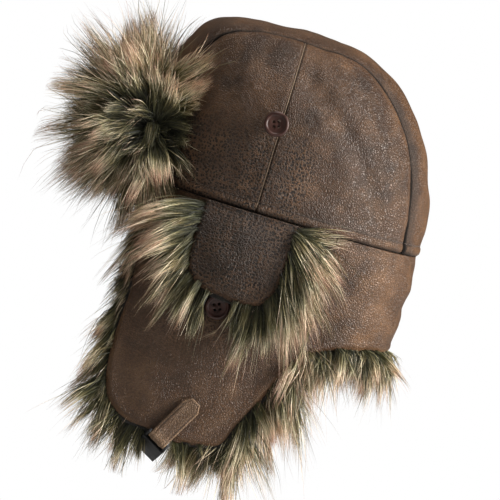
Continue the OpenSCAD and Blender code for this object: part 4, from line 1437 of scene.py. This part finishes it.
def make_strap(word, side):
    """A doubled leather tab in the strap's frame: z runs up it, y across it and x outwards."""
    width, length, ply = 16 * MM, 42 * MM, 1.5 * MM
    cut = 6 * MM
    cols = 33
    loop_r = 3.1 * MM
    turn = np.linspace(-math.radians(115), 0, 16)[:-1]
    path = [(loop_r * math.cos(t) - 0.2 * MM, loop_r * math.sin(t)) for t in turn]
    heights = np.linspace(0, 1, 70)
    path += [(ply + (loop_r - 0.2 * MM - ply) * bell(h * length, 5 * MM) , h * length) for h in heights]
    outer, inner, rub = [], [], []
    for x, z in path:
        half = width / 2 - max(0.0, z - (length - cut)) * 0.66
        for s in np.linspace(-1, 1, cols):
            y = s * half
            gap = min(width / 2 - abs(y) if z < length - cut else half - abs(y), length - z + 0.01 * MM)
            puff = 0.35 * MM * math.exp(-((gap - 4 * MM) / (2.6 * MM)) ** 2) - 0.45 * MM * math.exp(
                -((gap - 2.1 * MM) / (0.5 * MM)) ** 2) - 0.7 * MM * math.exp(-(gap / (0.6 * MM)) ** 2)
            dirx, dirz = (1.0, 0.0) if z > 0 else unit(np.array([x + 0.2 * MM, z]))
            outer.append((x + dirx * puff, y, z + dirz * puff))
            inner.append((x - dirx * 1.35 * MM, y, z - dirz * 1.35 * MM))
            rub.append(0.75 * math.exp(-(gap / (0.9 * MM)) ** 2) + 0.3 * math.exp(-(z / (5 * MM)) ** 2))
    outer, inner = np.array(outer), np.array(inner)
    faces = [tuple(reversed(f)) for f in grid_faces(len(path), cols)]
    matrix = np.array(strap_frame(side))

    def placed(points):
        return np.asarray(points) @ matrix[:3, :3].T + matrix[:3, 3]
    if side < 0:
        faces = [tuple(reversed(f)) for f in faces]
    front = shell(f"{word}_strap_front", placed(outer), placed(inner), faces, STRAP_LEATHER)
    add_attribute(front, "rub", np.clip(rub + rub, 0, 0.9))
    add_attribute(front, "pore", np.full(len(outer) * 2, 0.0))
    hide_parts(f"{word}_strap")
    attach(front, f"{word}_earflap")

    # the under ply, from behind the bar up to the top
    under_path = [(-loop_r * 0.9, -1.2 * MM), (-loop_r * 0.95, 0.6 * MM),
                  (-2.4 * MM, 3.4 * MM), (-1.2 * MM, 7 * MM)]
    under_path += [(-0.9 * MM, 7 * MM + h * (length - 9 * MM)) for h in np.linspace(0.1, 1, 24)]
    outer, inner = [], []
    for x, z in under_path:
        half = width / 2 - 0.4 * MM - max(0.0, z - (length - cut)) * 0.66
        for s in np.linspace(-1, 1, 9):
            outer.append((x + 0.6 * MM, s * half, z))
            inner.append((x - 0.5 * MM, s * half, z))
    faces = [tuple(reversed(f)) for f in grid_faces(len(under_path), 9)]
    if side < 0:
        faces = [tuple(reversed(f)) for f in faces]
    under = shell(f"{word}_strap_under", placed(outer), placed(inner), faces, STRAP_LEATHER)
    add_attribute(under, "rub", np.full(len(outer) * 2, 0.1))
    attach(under, f"{word}_earflap")

    inset = 2.1 * MM
    half = width / 2 - inset
    top = length - inset
    x = ply - 0.05 * MM
    line = [(x, -half, 6.5 * MM), (x, -half, top - cut + 0.6 * MM), (x, -half + 3.4 * MM, top),
            (x, half - 3.4 * MM, top), (x, half, top - cut + 0.6 * MM), (x, half, 6.5 * MM), (x, -half, 6.5 * MM)]
    thread = joined(f"{word}_strap_stitching", stitches(placed(line), 1.9 * MM, 0.7 * MM, 0.24 * MM), THREAD)
    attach(thread, f"{word}_earflap")


def make_buckles():
    for cad, word, body in (("buckle_socket", "left", "left_buckle"),
                            ("buckle_plug", "right", "right_buckle")):
        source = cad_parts[cad]
        mesh = source.data.copy()
        mesh.transform(source.matrix_world)
        copy = bpy.data.objects.new(f"{cad}_copy", mesh)
        bpy.context.scene.collection.objects.link(copy)
        bm = bmesh.new()
        bm.from_mesh(mesh)
        bmesh.ops.remove_doubles(bm, verts=bm.verts, dist=0.005 * MM)
        bmesh.ops.dissolve_limit(bm, angle_limit=math.radians(2), verts=bm.verts, edges=bm.edges)
        bm.to_mesh(mesh)
        bm.free()
        soften = copy.modifiers.new("soften", "BEVEL")
        soften.width = 0.55 * MM
        soften.segments = 3
        soften.limit_method = "ANGLE"
        soften.angle_limit = math.radians(40)
        soften.use_clamp_overlap = True
        done = place_mesh(f"{cad}_moulding", applied(copy), Matrix.Identity(4), BLACK)
        bpy.data.objects.remove(copy)
        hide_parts(cad)
        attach(done, body)


# ---- CAD nodes that stay, with better materials ----

def repaint(name, material):
    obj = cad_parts[name]
    obj.data.materials.clear()
    obj.data.materials.append(material)


def repaint_kept():
    repaint("crown_button_threads", THREAD)
    repaint("visor_stiffener", BOARD)
    for word, _ in SIDES:
        repaint(f"{word}_earflap_button_thread", THREAD)
        repaint(f"{word}_ear_cover_loop", ELASTIC)


# ---- Studio ----

def make_camera():
    """The view of the wearer's left side: from a little above, leaning as the hat does in the picture."""
    data = bpy.data.cameras.new("camera")
    camera = bpy.data.objects.new("camera", data)
    bpy.context.scene.collection.objects.link(camera)
    roll, lift, distance = math.radians(16.7), math.radians(2.6), 5.5
    target = Vector((45 * MM, -13.2 * MM, -31.3 * MM))
    view = Vector((math.cos(lift), 0, math.sin(lift)))
    right = Vector((0, 1, 0))
    up = view.cross(right)
    rotation = Matrix((right, up, view)).transposed().to_4x4()
    camera.matrix_world = (Matrix.Translation(target + view * distance) @ rotation
                           @ Matrix.Rotation(roll, 4, "Z"))
    field = 390.6 * MM
    data.sensor_width = 36
    data.lens = 36 * (distance - 30 * MM) / field
    data.clip_end = 50
    bpy.context.scene.camera = camera


def softbox(name, place, target, size, power, colour=(1, 1, 1)):
    data = bpy.data.lights.new(name, "AREA")
    data.shape = "RECTANGLE"
    data.size, data.size_y = size
    data.energy = power
    data.color = colour
    lamp = bpy.data.objects.new(name, data)
    lamp.location = place
    lamp.rotation_euler = (Vector(target) - Vector(place)).to_track_quat("-Z", "Y").to_euler()
    bpy.context.scene.collection.objects.link(lamp)


def make_studio():
    scene = bpy.context.scene
    scene.view_settings.view_transform = "Standard"
    scene.view_settings.look = "None"
    world = bpy.data.worlds.new("studio")
    world.use_nodes = True
    tree = world.node_tree
    lit, seen = tree.nodes["Background"], tree.nodes.new("ShaderNodeBackground")
    lit.inputs[0].default_value = (1, 0.97, 0.94, 1)
    lit.inputs[1].default_value = 0.095
    seen.inputs[0].default_value = (1, 1, 1, 1)
    seen.inputs[1].default_value = 1.0
    choose = tree.nodes.new("ShaderNodeMixShader")
    tree.links.new(tree.nodes.new("ShaderNodeLightPath").outputs["Is Camera Ray"], choose.inputs[0])
    tree.links.new(lit.outputs[0], choose.inputs[1])
    tree.links.new(seen.outputs[0], choose.inputs[2])
    tree.links.new(choose.outputs[0], tree.nodes["World Output"].inputs[0])
    scene.world = world
    middle = (0, 0, -20 * MM)
    softbox("key", (0.55, 1.7, 0.45), middle, (1.1, 1.1), 56, (1, 0.97, 0.94))
    softbox("top", (0.2, -0.1, 1.9), middle, (1.0, 1.0), 24, (1, 0.96, 0.92))
    softbox("front", (1.3, -1.8, 0.9), middle, (0.6, 0.6), 3, (1, 0.96, 0.92))
    softbox("rim_light", (0.5, 1.5, 0.9), middle, (0.35, 0.9), 16, (1, 0.97, 0.94))
    bpy.ops.mesh.primitive_plane_add(size=16, location=(0, 0, FLOOR_Z))
    floor = bpy.context.object
    floor.name = "floor"
    material, nodes, links, shader = new_material("pale_floor")
    tree = material.node_tree
    bright = node(nodes, "ShaderNodeEmission", Strength=1.0)
    choose = nodes.new("ShaderNodeMixShader")
    links.new(nodes.new("ShaderNodeLightPath").outputs["Is Camera Ray"], choose.inputs[0])
    links.new(shader.outputs[0], choose.inputs[1])
    links.new(bright.outputs[0], choose.inputs[2])
    links.new(choose.outputs[0], tree.nodes["Material Output"].inputs[0])
    speck = node(nodes, "ShaderNodeTexNoise", Scale=3.0)
    tone = ramp(nodes, [(0.0, grey(0.48)), (1.0, grey(0.52))])
    links.new(speck.outputs["Fac"], tone.inputs[0])
    links.new(tone.outputs[0], shader.inputs["Base Color"])
    shader.inputs["Roughness"].default_value = 0.9
    shader.inputs["Specular IOR Level"].default_value = 0.1
    floor.data.materials.append(material)


make_camera()
make_studio()
make_crown()
make_lining()
make_curtain()
curtain_fur()
make_visor()
for side_word, side_sign in SIDES:
    make_earflap(side_word, side_sign)
    flap_fur(side_word, side_sign)
    make_ear_cover(side_word, side_sign)
    cover_fur(side_word, side_sign)
    make_strap(side_word, side_sign)
make_buttons()
make_buckles()
repaint_kept()
